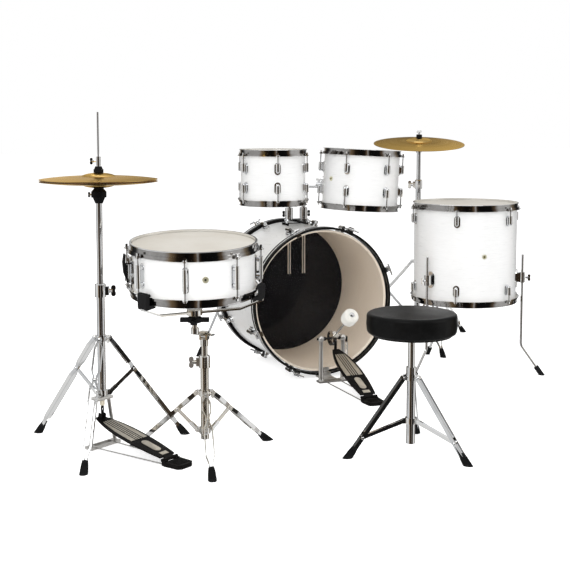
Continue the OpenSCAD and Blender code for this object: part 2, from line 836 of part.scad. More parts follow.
// Rivet across a leg at p in the leg's upright plane, with domed heads
module rivet(p, w) {
    translate([p.x, w / 2, p.y]) rotate([90, 0, 0]) cylinder(h = w, d = pin_d);
    for (s = [-1, 1]) translate([p.x, s * w / 2, p.y]) rotate([-90 * s, 0, 0])
        cylinder(h = 1.6, d1 = pin_d + 4, d2 = pin_d);
}

// Rubber foot on the end of a leg that leans out by "lean" from upright, slotted
// for the leg's two plates, which stand "gap" apart
module foot(reach, lean, slot_l, gap = ear_w + 2 * slip) {
    difference() {
        translate([reach, 0, 0]) rotate([0, -lean, 0]) translate([0, 0, -foot_d / 2]) {
            cylinder(h = foot_l * 0.8, d1 = foot_d, d2 = foot_d * 0.82);
            translate([0, 0, foot_l * 0.8]) cylinder(h = foot_l * 0.3, d1 = foot_d * 0.82, d2 = foot_d * 0.66);
        }
        translate([reach - 150, -150, -100]) cube([300, 300, 100]);
        if (slot_l > 0) translate([reach, 0, 0]) rotate([0, -lean, 0])
            translate([-strap_w / 2 - 0.1, -gap / 2 - strap_t - 0.1, foot_l - slot_l])
                cube([strap_w + 0.2, gap + 2 * strap_t + 0.2, 100]);
    }
}

// Braced leg: two bowed straps from the collar's ear at "top" to a rubber foot,
// with the rivet that turns in the ear and the one that the strut turns on
module loop_leg(top, reach, joint) {
    lean = atan2(reach - top.x, top.y);
    len = norm([reach - top.x, top.y]) - 18;
    w = ear_w + 2 * slip + 2 * strap_t;
    color(steel) {
        translate([top.x, 0, top.y]) rotate([0, 90 - lean, 0]) {
            for (s = [0, 1]) mirror([0, s, 0]) translate([0, 0, -strap_w / 2])
                linear_extrude(strap_w) bowed_2d(len, joint);
        }
        rivet(top, w);
        rivet(top + joint * [sin(lean), -cos(lean)], w);
    }
    color(black) foot(reach, lean, foot_l - 18);
}

// Strut: a fork on the lower collar's ear at b, and an eye between a leg's
// straps at a
module strut(a, b) {
    n = (a - b) / norm(a - b);
    fork = ear_w + 2 * slip + 4;
    hole = pin_d + 2 * run;
    color(steel) {
        for (s = [-1, 1]) translate([0, s * (fork - 2) / 2, 0]) upright(2) strap_2d(b, b + n * 26, strap_w - 2);
        upright(fork) strap_2d(b + n * 21, b + n * 26, strap_w - 3);
        upright(ear_w - 1) difference() {
            strap_2d(b + n * 22, a, strap_w - 2);
            translate(a) circle(d = hole);
        }
        translate([b.x, fork / 2, b.y]) rotate([90, 0, 0]) cylinder(h = fork, d = pin_d);
    }
}

// The whole braced base of a stand: tube, two collars, three legs and struts
module tripod(tube_top, tube_low, top_z, low_z, reach, joint, turn) {
    ear = tube_d / 2 + 13;
    h = 18;
    lean = atan2(reach - ear, top_z);
    at = [ear, top_z] + joint * [sin(lean), -cos(lean)];
    color(steel) {
        translate([0, 0, tube_low]) tube(tube_top - tube_low, tube_d, tube_wall);
        translate([0, 0, tube_low]) washer(tube_d - 1, plug_bore, 12);
        for (z = [top_z, low_z]) translate([0, 0, z - h / 2])
            collar(h, tube_d - 0.2, ear, turn, pin_d + 2 * run);
        rotate([0, 0, turn + 60]) translate([tube_d / 2 + 3, 0, top_z]) rotate([0, 90, 0])
            wing_screw(7, 2, 26);
    }
    ring_of(3, turn) {
        loop_leg([ear, top_z], reach, joint);
        strut(at, [ear, low_z]);
    }
}

// Height clamp at a tube's mouth with its wing screw turned to "turn"
module height_clamp(bore, h, turn) {
    difference() {
        union() {
            cylinder(h = h, d = bore + 9);
            translate([0, 0, h]) cylinder(h = 3, d1 = bore + 9, d2 = bore + 5);
            rotate([0, 0, turn]) translate([bore / 2, -8, h * 0.15]) cube([13, 16, h * 0.7]);
        }
        translate([0, 0, -1]) cylinder(h = h + 5, d = bore);
    }
    rotate([0, 0, turn]) translate([bore / 2 + 13, 0, h / 2]) rotate([0, 90, 0])
        wing_screw(8, 2, 34);
}

// Reducing sleeve that centres an upper tube of diameter d in a lower tube
module mast_sleeve(h, d) {
    difference() {
        cylinder(h = h, d = tube_d + 1);
        translate([0, 0, -1]) cylinder(h = h + 2, d = d + 2 * slip);
    }
}

// Height of a bell's inside above the rim
function bell_top(bow, bell) = bow + bell * (1 - sqrt(0.06));

// Cymbal of diameter d with a bell, a gentle bow and a hole, rim at z = 0
module cymbal(d, bell_d, bell_h, bow) {
    r = d / 2;
    rb = bell_d / 2;
    n = 10;
    edge = [for (i = [0 : n]) let (k = i / n) [rb + (r - rb) * k, bow * (1 - k * k)]];
    dome = [for (i = [1 : n]) let (k = i / n) [rb * k, bow + bell_h * sqrt(max(0, 1 - k * k * 0.94))
        - bell_h * sqrt(0.06)]];
    under = concat([[6, dome[0].y]], [for (p = dome) if (p.x > 6 && p.x < rb - 0.1) p], edge);
    over = [for (p = under) [p.x, p.y + cymbal_t]];
    rotate_extrude($fn = 96) polygon(concat(under, [for (i = [len(over) - 1 : -1 : 0]) over[i]]));
}

// ---------------------------------------------------------------- snare stand

snare_clamp_z = 268;
snare_pivot_z = 368;
snare_leg_turns = 257 - heading;

module snare_pole_frame() {
    translate([snare_pole.x, snare_pole.y, 0]) rotate([0, 0, heading]) children();
}

module snare_tripod() {
    snare_pole_frame() {
        tripod(snare_clamp_z + 8, 50, 190, 76, snare_reach, 88, snare_leg_turns);
        color(steel) translate([0, 0, snare_clamp_z]) {
            height_clamp(tube_d, 34, 190);
            translate([0, 0, 8]) mast_sleeve(29, mast_d);
        }
    }
}

// Upper tube that slides in the stand, topped by the tilter's clevis
module snare_mast() {
    color(steel) snare_pole_frame() {
        translate([0, 0, 130]) tube(snare_pivot_z - 20 - 130, mast_d, tube_wall);
        translate([0, 0, snare_pivot_z]) rotate([0, 0, tilter_turn - heading]) {
            clevis(24, 14, 20, mast_d + 5);
            translate([0, 15, 0]) rotate([-90, 0, 0]) wing_screw(7, 1, 26);
        }
    }
}

grip_t = 7;                 // rubber grips' thickness
basket_turn = 230;          // turn of the first basket arm, between two rods
hub_drop = 56;              // basket hub below the drum's lower rim

// Basket: tilter arm, threaded stem with its black nut, hub and three arms
// whose grips hold the drum's lower hoop
module snare_basket() {
    r = snare_d / 2 + hoop_flange;
    hub = snare_low - hub_drop;
    color(steel) snare_frame() {
        translate([0, 0, hub - 62]) cylinder(h = 62, d = 15);
        translate([0, 0, hub - 8]) cylinder(h = 16, d = 46);
        ring_of(3, basket_turn) basket_arm(r, hub);
    }
    color(steel) tilter_arm(hub - 62);
    color(black) snare_frame() {
        difference() {
            union() {
                translate([0, 0, hub - 30]) cylinder(h = 14, d = 40);
                for (a = [0, 90]) rotate([0, 0, a]) translate([-42, -9, hub - 29]) cube([84, 18, 11]);
            }
            translate([0, 0, hub - 40]) cylinder(h = 30, d = 15.4);
        }
        ring_of(3, basket_turn) basket_grip(r);
    }
}

module basket_arm(r, hub) {
    w = 16;
    end = [r + 3 + grip_t, snare_low + 2];
    upright(w) {
        strap_2d([16, hub], [r * 0.72, hub + 16], 5);
        strap_2d([r * 0.72, hub + 16], [end.x, snare_low - 12], 5);
        strap_2d([end.x, snare_low - 12], end, 5);
    }
}

// Rubber grip: holds the lower hoop's flange from below, outside and above
module basket_grip(r) {
    w = 34;
    low = snare_low;
    difference() {
        upright(w) polygon([[r - 22, low - 9], [r + 12, low - 11], [r + 14, low - 4], [r + 14, low + 34],
            [r + 4, low + 36], [r - 4, low + 32], [r - 4, low + 26], [r + seat, low + 26],
            [r + seat, low - seat], [r - 22, low - seat]]);
        upright(16.2) {
            strap_2d([r * 0.72, snare_low - hub_drop + 16], [r + 3 + grip_t, low - 12], 5.2);
            strap_2d([r + 3 + grip_t, low - 12], [r + 3 + grip_t, low + 2], 5.2);
        }
    }
}

// Offset arm between the stem's foot and the stand's pivot
module tilter_arm(stem_low) {
    pivot = [snare_pole.x, snare_pole.y, snare_pivot_z];
    foot = stem_foot(stem_low);
    v = foot - pivot;
    bar(foot - [0, 0, 4], foot + [0, 0, 14], 24);
    bar(pivot + v * 0.12, foot, 12);
    translate(pivot) rotate([0, 0, tilter_turn]) clevis_arm(24, 14, 1, 10);
}

function plan_turn(p, a) = [p.x * cos(a) - p.y * sin(a), p.x * sin(a) + p.y * cos(a), p.z];

// Where the basket's stem ends, for a stem that reaches down to z in the snare's frame
function stem_foot(z) = [snare_at.x, snare_at.y, snare_z]
    + plan_turn([0, -sin(snare_tilt) * z, cos(snare_tilt) * z], heading);
tilter_to = stem_foot(snare_low - hub_drop - 62) - [snare_pole.x, snare_pole.y, 0];
tilter_turn = atan2(tilter_to.y, tilter_to.x);

// ---------------------------------------------------------------- hi-hat

hat_clamp_z = 467;
hat_rim_z = 824;            // mean height of the cymbals' rims
hat_bow = 9;
hat_bell = 14;
hat_leg_turns = 268;
pedal_turn = -38;           // the hi-hat pedal points this way from its pole
chain_top = 150;
hat_toe_z = 84;
hat_rod_top = 1030;
hat_tube_low = 152;         // lower end of the stand's tube, in the casting
rod_r = 3;

module hat_frame() {
    translate([hat_at.x, hat_at.y, 0]) rotate([0, 0, heading]) children();
}

module hihat_tripod() {
    hat_frame() {
        tripod(hat_clamp_z + 8, hat_tube_low, 339, 168, hat_reach, 132, hat_leg_turns);
        color(steel) translate([0, 0, hat_clamp_z]) {
            height_clamp(tube_d, 38, 0);
            translate([0, 0, 8]) mast_sleeve(33, mast_d);
        }
    }
}

hat_seat_z = hat_rim_z - hat_gap / 2 - bell_top(hat_bow, hat_bell) - cymbal_t;

// Upper tube with the tilting cup and felt that the lower cymbal sits on
module hihat_tube() {
    z = hat_seat_z;
    hat_frame() {
        color(steel) translate([0, 0, 330]) tube(z - 24 - 330, mast_d, tube_wall);
        color(black) difference() {
            union() {
                translate([0, 0, z - 46]) cylinder(h = 18, d1 = mast_d + 4, d2 = 38);
                translate([0, 0, z - 28]) cylinder(h = 17, d = 46);
                translate([0, 0, z - 11]) cylinder(h = 8, d1 = 46, d2 = 32);
                translate([0, 0, z - 3]) cylinder(h = 3 - seat, d = 30);
            }
            translate([0, 0, z - 60]) cylinder(h = 37, d = mast_d);
            translate([0, 0, z - 30]) cylinder(h = 40, d = 12);
        }
        color(steel) translate([-23, 0, z - 20]) rotate([0, -90, 0]) wing_screw(6, 1, 16);
    }
}

// Pull rod with the clutch that holds the upper cymbal, the connector and chain
module hihat_rod() {
    z = hat_rim_z + hat_gap / 2 + bell_top(hat_bow, hat_bell);
    hat_frame() {
        color(steel) {
            translate([0, 0, chain_top]) cylinder(h = hat_rod_top - chain_top, r = rod_r);
            translate([0, 0, z + 22]) cylinder(h = 28, d = 15);
            translate([-13, 0, z + 36]) rotate([0, -90, 0]) wing_screw(6, 8, 20);
            translate([0, 0, z - 16]) cylinder(h = 40, d = 10);
        }
        color(black) difference() {
            union() {
                translate([0, 0, z + cymbal_t + seat]) cylinder(h = 10, d = 30);
                translate([0, 0, z + cymbal_t + 11]) cylinder(h = 8, d1 = 26, d2 = 20);
                translate([0, 0, z - 12]) cylinder(h = 11, d = 24);
            }
            translate([0, 0, z - 30]) cylinder(h = 80, d = 10);
        }
        color(steel) translate([0, 0, z - 17]) cylinder(h = 5, d = 20, $fn = 6);
        color(cream) translate([0, 0, chain_top - 21]) cylinder(h = 23, d = 15);
        color(black) chain(chain_top - 20, hat_toe_z + 14);
    }
}

// Short roller chain hanging from z0 down to z1
module chain(z0, z1) {
    pitch = 9;
    n = floor((z0 - z1) / pitch);
    rotate([0, 0, pedal_turn]) for (i = [0 : n - 1]) translate([0, 0, z0 - pitch * (i + 0.5)]) {
        for (s = [-1, 1]) translate([0, s * (i % 2 == 0 ? 3 : 3.9), 0]) upright(1)
            strap_2d([0, -pitch / 2], [0, pitch / 2], i % 2 == 0 ? 6 : 5.4);
        translate([0, -4.6, -pitch / 2]) rotate([-90, 0, 0]) cylinder(h = 9.2, d = 3);
        translate([0, -2.6, -pitch / 2]) rotate([-90, 0, 0]) cylinder(h = 5.2, d = 5);
    }
}

module hihat_top_cymbal() {
    color(bronze) hat_frame() translate([0, 0, hat_rim_z + hat_gap / 2])
        cymbal(hat_d, 104, hat_bell, hat_bow);
}

module hihat_bottom_cymbal() {
    color(bronze) hat_frame() translate([0, 0, hat_rim_z - hat_gap / 2])
        mirror([0, 0, 1]) cymbal(hat_d, 104, hat_bell, hat_bow);
}

// ---------------------------------------------------------------- crash cymbal

crash_clamp_z = 700;
crash_pivot_z = 896;
crash_leg_z = 370;          // height of its legs' upper collar
crash_mast_low = 480;       // lower end of the sliding mast
crash_stem = 34;            // tilter pivot to the cymbal's seat
crash_leg_turns = 260.5 - heading;
crash_bow = 14;
crash_bell = 20;

module crash_frame() {
    translate([crash_at.x, crash_at.y, 0]) rotate([0, 0, heading]) children();
}

// The tilter's own frame: zero at its pivot, +Z along the cymbal's axis
module tilter_frame() {
    crash_frame() translate([0, 0, crash_pivot_z]) rotate([crash_tilt, 0, 0]) children();
}

module crash_tripod() {
    crash_frame() {
        tripod(crash_clamp_z + 8, 84, crash_leg_z, 110, crash_reach, 178, crash_leg_turns);
        color(steel) translate([0, 0, crash_clamp_z]) {
            height_clamp(tube_d, 38, 180);
            translate([0, 0, 8]) mast_sleeve(33, mast_d);
        }
    }
}

module crash_mast() {
    color(steel) crash_frame() {
        translate([0, 0, crash_mast_low]) tube(crash_pivot_z - 20 - crash_mast_low, mast_d, tube_wall);
        translate([0, 0, crash_pivot_z]) rotate([0, 0, 90]) clevis(22, 12, 20, mast_d + 5);
        translate([14, 0, crash_pivot_z]) rotate([0, 90, 0]) wing_screw(7, 1, 24);
    }
}

// Tilter: knuckle, threaded stem, cup washer, felts and wing nut
module crash_tilter() {
    z = crash_stem;
    color(steel) tilter_frame() {
        rotate([0, 0, 90]) clevis_arm(22, 12, 1, 8);
        translate([0, 0, 7]) cylinder(h = 7, d = 11.5);
        translate([0, 0, 12]) cylinder(h = 16 + z, d = 8);
        translate([0, 0, z - 14]) cylinder(h = 5, d1 = 18, d2 = 26);
        translate([0, 0, z + cymbal_t + 15]) rotate([0, 0, 30]) wing_screw(8, 1, 26);
    }
    color(black) tilter_frame() {
        rotate_extrude() polygon([[4.2, z - 9], [14, z - 9], [14, z - 3], [8, z - 0.5], [4.2, z - 0.5]]);
        translate([0, 0, z + cymbal_t + seat]) washer(26, 8.4, 12);
    }
}

module crash_cymbal() {
    color(bronze) tilter_frame() translate([0, 0, crash_stem - bell_top(crash_bow, crash_bell)])
        cymbal(crash_d, 116, crash_bell, crash_bow);
}

// ---------------------------------------------------------------- stool

stool_turns = [176, 296, 56];   // left, right and back legs
stool_tube_d = 27;
stool_post_d = 21;
stool_top_z = 255;
stool_ear = stool_tube_d / 2 + 12;
stool_leg_z = 232;          // height of the legs' pivots
stool_strut_z = 98;         // height of the struts' pivots at rest
stool_strut_r = 160;        // struts meet the legs this far out
stool_collar_h = 18;
stool_lean = atan2(stool_reach - stool_ear, stool_leg_z);
stool_fork = ear_w + 2 * slip + 4;          // a strut's width across its fork
stool_gap = stool_fork + 2 * slip;          // space between a leg's plates

module stool_frame() {
    translate([stool_at.x, stool_at.y, 0]) children();
}

// Seat pan and cushion, shown plain, with the boss that turns on the post
module stool_seat() {
    stool_frame() {
        color(black) translate([0, 0, seat_z]) rotate_extrude($fn = 96) polygon(concat(
            [[0, 0], [seat_d / 2 - 14, 0]],
            [for (a = [-60 : 20 : 60]) [seat_d / 2 - 12 + 12 * cos(a), seat_t / 2 + (seat_t / 2 - 5) * sin(a) / sin(60)]],
            [[seat_d / 2 - 22, seat_t], [0, seat_t + 3]]));
        color(black) translate([0, 0, seat_z - 5]) cylinder(h = 5, d = seat_d - 30);
        color(steel) translate([0, 0, seat_z - 24]) difference() {
            cylinder(h = 19, d = 40);
            translate([0, 0, -1]) cylinder(h = 17, d = stool_post_d + 2 * slip);
        }
    }
}

// Perforated post that slides in the base's tube to set the seat's height
module stool_post() {
    color(steel) stool_frame() difference() {
        translate([0, 0, 120]) tube(seat_z - 10 - 120, stool_post_d, tube_wall);
        for (z = [150 : 25 : seat_z - 20]) translate([-30, 0, z]) rotate([heading, 90, 0])
            cylinder(h = 60, d = 7);
    }
}

// Lower tube with the clamp for the post and the legs' fixed collar
module stool_base() {
    color(steel) stool_frame() {
        translate([0, 0, 27]) tube(stool_top_z - 27, stool_tube_d, tube_wall);
        translate([0, 0, 27]) cylinder(h = 10, d = stool_tube_d - 1);
        translate([0, 0, stool_top_z]) difference() {
            translate([0, 0, -14]) cylinder(h = 22, d = stool_tube_d + 4);
            translate([0, 0, -15]) cylinder(h = 15, d = stool_tube_d - 0.2);
            translate([0, 0, -15]) cylinder(h = 30, d = stool_post_d + 2 * slip);
        }
        rotate([0, 0, heading + 90]) translate([stool_tube_d / 2 + 3, 0, stool_top_z - 2])
            rotate([0, 90, 0]) wing_screw(7, 1, 28);
        translate([0, 0, stool_leg_z - stool_collar_h / 2])
            collar(stool_collar_h, stool_tube_d - 0.2, stool_ear, stool_turns[0],
                pin_d + 2 * run, stool_fork);
    }
}

// Lower collar, which slides up the tube as the legs fold
module stool_collar() {
    color(steel) stool_frame() translate([0, 0, stool_strut_z - stool_collar_h / 2])
        collar(stool_collar_h, stool_tube_d + 2 * slip, stool_ear, stool_turns[0], pin_d + 2 * run);
}

// Leg: two side plates and a rubber foot; its rivet turns in the collar's ear
module stool_leg(turn) {
    w = stool_gap;
    top = [stool_ear, stool_leg_z];
    end = [stool_reach - 16 * sin(stool_lean), 16 * cos(stool_lean)];
    stool_frame() rotate([0, 0, turn]) {
        color(steel) {
            for (s = [-1, 1]) translate([0, s * (w + strap_t) / 2, 0]) upright(strap_t)
                strap_2d(top, end, strap_w);
            rivet(top, w + 2 * strap_t);
            for (s = [-1, 1]) translate([stool_strut_r, s * (w / 2 + strap_t), stool_joint_z])
                rotate([-90 * s, 0, 0]) cylinder(h = 1.6, d1 = pin_d + 4, d2 = pin_d);
            translate([end.x, w / 2 + 1, end.y]) rotate([90, 0, 0]) cylinder(h = w + 2, d = 8);
        }
        color(black) foot(stool_reach, stool_lean, foot_l - 16, stool_gap);
    }
}

stool_joint_z = stool_leg_z - (stool_strut_r - stool_ear) / tan(stool_lean);

// Strut from the sliding collar's ear to the leg: its fork holds the ear, and
// its far end lies between the leg's plates
module stool_strut(turn) {
    from = [stool_ear, stool_strut_z];
    to = [stool_strut_r, stool_joint_z];
    n = (to - from) / norm(to - from);
    stool_frame() rotate([0, 0, turn]) color(steel) {
        for (s = [-1, 1]) translate([0, s * (stool_fork - 2) / 2, 0]) upright(2)
            strap_2d(from, from + n * 30, strap_w);
        upright(stool_fork) strap_2d(from + n * 22, to - n * 2, strap_w - 1);
        translate([from.x, stool_fork / 2, from.y]) rotate([90, 0, 0])
            cylinder(h = stool_fork, d = pin_d);
    }
}

module stool_leg_left() { stool_leg(stool_turns[0]); }
module stool_leg_right() { stool_leg(stool_turns[1]); }
module stool_leg_back() { stool_leg(stool_turns[2]); }
module stool_strut_left() { stool_strut(stool_turns[0]); }
module stool_strut_right() { stool_strut(stool_turns[1]); }
module stool_strut_back() { stool_strut(stool_turns[2]); }

// ---------------------------------------------------------------- footboards

heel_l = 70;                // length of a heel plate
heel_t = 13;                // thickness of a heel plate
hinge_z = 16;               // height of the footboards' hinges
hinge_pin = 5;
knuckle_d = 11;
knuckle_w = 34;             // the board's middle knuckle

// Half width of a footboard, k from 0 at the hinge to 1 at the toe
function board_half(k) = board_w / 2
    * (k < 0.5 ? 1 - 0.34 * pow(1 - 2 * k, 2) : 1 - 0.68 * pow(2 * k - 1, 2.2));

// Outline of a footboard from k = a to b, drawn in by "inset"
module board_2d(a, b, inset) {
    n = 14;
    side = [for (i = [0 : n]) let (k = a + (b - a) * i / n) [k * board_l, board_half(k) - inset]];
    polygon(concat(side, [for (i = [n : -1 : 0]) [side[i].x, -side[i].y]]));
}

// Footboard in its own frame: hinge along Y at zero, toe towards +X
module footboard() {
    t = board_t;
    color(black) difference() {
        union() {
            translate([0, 0, 1]) linear_extrude(t) board_2d(0.035, 1, 0);
            for (s = [-1, 1]) translate([0, s * board_w * 0.24, -6]) rotate([90, 0, 0])
                translate([0, 0, -1.5]) linear_extrude(3)
                    polygon([[24, 7.5], [board_l * 0.9, 7.5], [board_l * 0.8, 2], [60, 0]]);
            rotate([90, 0, 0]) translate([0, 0, -knuckle_w / 2]) cylinder(h = knuckle_w, d = knuckle_d);
            translate([0, -knuckle_w / 2, 0.5]) cube([16, knuckle_w, t]);
        }
        rotate([90, 0, 0]) translate([0, 0, -knuckle_w]) cylinder(h = 2 * knuckle_w, r = hinge_pin / 2 + run);
    }
    color(steel) translate([0, 0, t + 1]) {
        linear_extrude(1.4) difference() {
            board_2d(0.42, 0.88, 9);
            for (i = [-1.5 : 1.5]) translate([board_l * 0.38, i * 9 - 1.3]) square([board_l * 0.47, 2.6]);
        }
        linear_extrude(1.4) strap_2d([board_l * 0.18, 0], [board_l * 0.33, 0], 26);
        linear_extrude(1.4) translate([board_l * 0.055, -14]) square([board_l * 0.05, 28]);
    }
}

// Heel plate in the footboard's frame, with the hinge's outer knuckles and pin
module heel_plate() {
    w = board_w * 0.8;
    out = w / 2 - 2;
    gap = knuckle_w / 2 + slip;
    color(black) {
        translate([0, 0, -hinge_z]) linear_extrude(heel_t) polygon([[-9, -w / 2], [-9, w / 2],
            [-14, w / 2], [-heel_l + 8, w / 2 - 3], [-heel_l, w / 2 - 14], [-heel_l, -w / 2 + 14],
            [-heel_l + 8, -w / 2 + 3], [-14, -w / 2]]);
        for (i = [0 : 5]) translate([-heel_l + 12 + i * 6.5, -w / 2 + 9, heel_t - hinge_z])
            cube([2.6, w - 18, 1.2]);
        for (s = [-1, 1]) {
            translate([0, s > 0 ? out : -gap, 0]) rotate([90, 0, 0]) cylinder(h = out - gap, d = knuckle_d);
            translate([-12, s > 0 ? gap : -out, -hinge_z]) cube([14, out - gap, hinge_z]);
        }
    }
    color(steel) translate([0, w / 2, 0]) rotate([90, 0, 0]) cylinder(h = w, d = hinge_pin);
}

// ---------------------------------------------------------------- hi-hat pedal

hat_toe_past = 16.5;        // how far the footboard's toe reaches past the pole's axis
hat_toe_h = hat_toe_z - hinge_z;
hat_board_lean = asin(hat_toe_h / board_l);
hat_hinge_r = board_l * cos(hat_board_lean) - hat_toe_past;
base_half = 50;             // half the spread of the frame's posts at the floor

module hat_pedal_frame() { hat_frame() rotate([0, 0, pedal_turn]) children(); }

// Frame under the stand: two posts from the casting to the base plate, radius
// rods, spring casing and heel plate
module hihat_pedal_frame() {
    hat_pedal_frame() {
        color(steel) {
            for (s = [-1, 1]) {
                bar([0, s * 24, 156], [0, s * base_half, 7], 11);
                bar([14, s * base_half * 0.8, 5], [hat_hinge_r + heel_l - 30, s * board_w * 0.3, 5], 4);
            }
            difference() {
                translate([-16, -base_half - 10, 0]) cube([32, 2 * base_half + 20, 9]);
                translate([-10, -base_half + 14, 3]) cube([20, 2 * base_half - 28, 10]);
            }
            difference() {
                translate([-16, -31, 148]) cube([32, 62, 9]);
                translate([0, 0, 140]) cylinder(h = 30, r = rod_r + 9);
                translate([0, 0, hat_tube_low]) cylinder(h = 20, d = tube_d + 2 * seat);
            }
        }
        translate([hat_hinge_r, 0, hinge_z]) rotate([0, 0, 180]) heel_plate();
    }
}

module hihat_footboard() {
    hat_pedal_frame() translate([hat_hinge_r, 0, hinge_z]) rotate([0, -hat_board_lean, 180]) {
        footboard();
        color(black) {
            for (s = [-1, 1]) translate([board_l - 20, s * 7.5 - 1.5, 5]) cube([16, 3, 17]);
            translate([board_l - 12.5, 8, 14]) rotate([90, 0, 0]) cylinder(h = 16, d = 4);
        }
    }
}

// ---------------------------------------------------------------- kick pedal

post_x = 46;                // kick pedal's posts to each side of its middle
axle_d = 9;
cam_r = 28;
kick_toe_y = -cam_r - 5;    // the toe hangs under the chain on the cam
kick_toe_z = 128;
kick_lean = asin((kick_toe_z - hinge_z) / board_l);
kick_hinge_y = kick_toe_y - board_l * cos(kick_lean);
beater_lean = 56;           // beater's angle back from upright at rest
jaw_t = 5;
hoop_low_z = bass_lift;     // underside of the bass drum's hoop

module kick_hinge_frame() { translate([0, kick_hinge_y, hinge_z]) rotate([0, 0, 90]) children(); }

// Base plate, posts with bearings, hoop clamp, radius rods and heel plate
module kick_frame() {
    color(steel) {
        translate([-post_x - 12, -16, 0]) cube([2 * post_x + 24, 32, 7]);
        translate([-24, 14, 0]) cube([48, bass_y - 14 + 26, hoop_low_z - slip]);
        translate([-20, bass_y - 22, 0]) cube([40, 21, hoop_low_z + bass_hoop_t + 3]);
        translate([-20, bass_y - 22, hoop_low_z + bass_hoop_t + 0.8]) cube([40, 34, jaw_t]);
        translate([0, bass_y - 12, hoop_low_z + bass_hoop_t + jaw_t]) wing_screw(8, 1, 32);
        for (s = [-1, 1]) difference() {
            union() {
                translate([s * post_x, 0, 0]) cylinder(h = axle_z - 8, d1 = 18, d2 = 15);
                translate([s * post_x, 0, axle_z]) sphere(d = 25);
                translate([s * post_x, 0, 6]) cylinder(h = 10, d1 = 24, d2 = 17);
            }
            translate([s * post_x - 20, 0, axle_z]) rotate([0, 90, 0]) cylinder(h = 40, r = axle_d / 2 + run);
        }
        for (s = [-1, 1]) bar([s * board_w * 0.36, -10, 4], [s * board_w * 0.32, kick_hinge_y - 20, 4], 4);
        translate([post_x + 10, -6, 0]) cube([14, 12, 74]);
    }
    kick_hinge_frame() heel_plate();
}

// Axle with its cam, chain wrapped on the cam, shaft clamp, shaft and rocker
module kick_axle() {
    color(steel) translate([0, 0, axle_z]) {
        rotate([0, 90, 0]) translate([0, 0, -post_x - 16]) cylinder(h = 2 * post_x + 34, d = axle_d);
        for (s = [-1, 1]) translate([s * (post_x - 16) - 2, 0, 0]) rotate([0, 90, 0])
            cylinder(h = 4, d = 15);
        rotate([0, 90, 0]) translate([0, 0, -8]) difference() {
            cylinder(h = 16, r = cam_r);
            for (a = [20, 90, 160]) rotate([0, 0, a]) translate([cam_r * 0.62, 0, -1])
                cylinder(h = 18, d = cam_r * 0.42);
        }
        rotate([beater_lean, 0, 0]) {
            translate([-11, -11, 6]) cube([22, 22, 34]);
            translate([11, 0, 28]) rotate([0, 90, 0]) wing_screw(6, 1, 20);
            cylinder(h = 40 + beater_l, d = 8);
        }
        translate([post_x + 13, -5, -18]) cube([5, 10, 20]);
    }
    color(black) translate([0, 0, axle_z]) rotate([0, 90, 0]) translate([0, 0, -5])
        rotate([0, 0, -90 - 77]) rotate_extrude(angle = 75) translate([cam_r, 0]) square([4, 10]);
}

// Felt beater round the end of the shaft, held by a washer and nut
module kick_beater() {
    d = felt_d;
    translate([0, 0, axle_z]) rotate([beater_lean, 0, 0]) translate([0, 0, 40 + beater_l]) {
        color(cream) difference() {
            rotate_extrude() polygon([[0, -23], [d / 2 - 6, -23], [d / 2 - 1, -19], [d / 2, -14],
                [d / 2, 16], [d / 2 - 3, 21], [d / 2 - 9, 24], [0, 24]]);
            translate([0, 0, -d]) cylinder(h = d, d = 8.2);
        }
        color(steel) {
            translate([0, 0, 24]) cylinder(h = 2, d = 20);
            translate([0, 0, 25.5]) cylinder(h = 5, d = 12, $fn = 6);
        }
    }
}

module kick_footboard() {
    kick_hinge_frame() rotate([0, -kick_lean, 0]) footboard();
    color(black) translate([-5, kick_toe_y - 2, kick_toe_z - 4]) cube([10, 4, axle_z - kick_toe_z - 1]);
}

// Point i of a coil of radius r that climbs h in n turns
function coil(i, r, h, n, per) = [r * cos(i * 360 / per), r * sin(i * 360 / per), h * i / (n * per)];

// Coil spring: a round wire swept along a helix, hooks at both ends
module kick_spring() {
    r = 6;
    wire = 1.1;
    low = 75.3;
    high = axle_z - 19.6;
    n = 13;
    per = 10;
    sides = 6;
    rings = n * per;
    points = [for (i = [0 : rings]) let (c = coil(i, r, high - low, n, per), a = i * 360 / per)
        for (j = [0 : sides - 1]) c + wire * [cos(j * 60) * cos(a), cos(j * 60) * sin(a), sin(j * 60)]];
    walls = [for (i = [0 : rings - 1]) for (j = [0 : sides - 1]) let (k = (j + 1) % sides)
        [i * sides + j, (i + 1) * sides + j, (i + 1) * sides + k, i * sides + k]];
    caps = [[for (j = [0 : sides - 1]) j], [for (j = [sides - 1 : -1 : 0]) rings * sides + j]];
    color(steel) translate([post_x + 15.5, 0, low]) polyhedron(points, concat(walls, caps));
}

// ---------------------------------------------------------------- drawing

bass_shell();
bass_batter_head();
bass_front_head();
bass_hoops();
bass_lugs();
bass_claws();
tom_holder();
spur_left();
spur_right();
small_tom_shell();
small_tom_heads();
small_tom_hoops();
small_tom_lugs();
middle_tom_shell();
middle_tom_heads();
middle_tom_hoops();
middle_tom_lugs();
floor_tom_shell();
floor_tom_heads();
floor_tom_hoops();
floor_tom_lugs();
floor_leg_left();
floor_leg_right();
floor_leg_back();
snare_shell();
snare_heads();
snare_hoops();
snare_lugs();
snare_strainer();
strainer_lever();
snare_wires();
snare_tripod();
snare_mast();
snare_basket();
hihat_tripod();
hihat_tube();
hihat_rod();
hihat_top_cymbal();
hihat_bottom_cymbal();
hihat_pedal_frame();
hihat_footboard();
kick_frame();
kick_axle();
kick_beater();
kick_footboard();
kick_spring();
crash_tripod();
crash_mast();
crash_tilter();
crash_cymbal();
stool_seat();
stool_post();
stool_base();
stool_collar();
stool_leg_left();
stool_leg_right();
stool_leg_back();
stool_strut_left();
stool_strut_right();
stool_strut_back();
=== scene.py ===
import math
from collections import defaultdict

import bmesh
import bpy
from mathutils import Matrix, Vector, noise


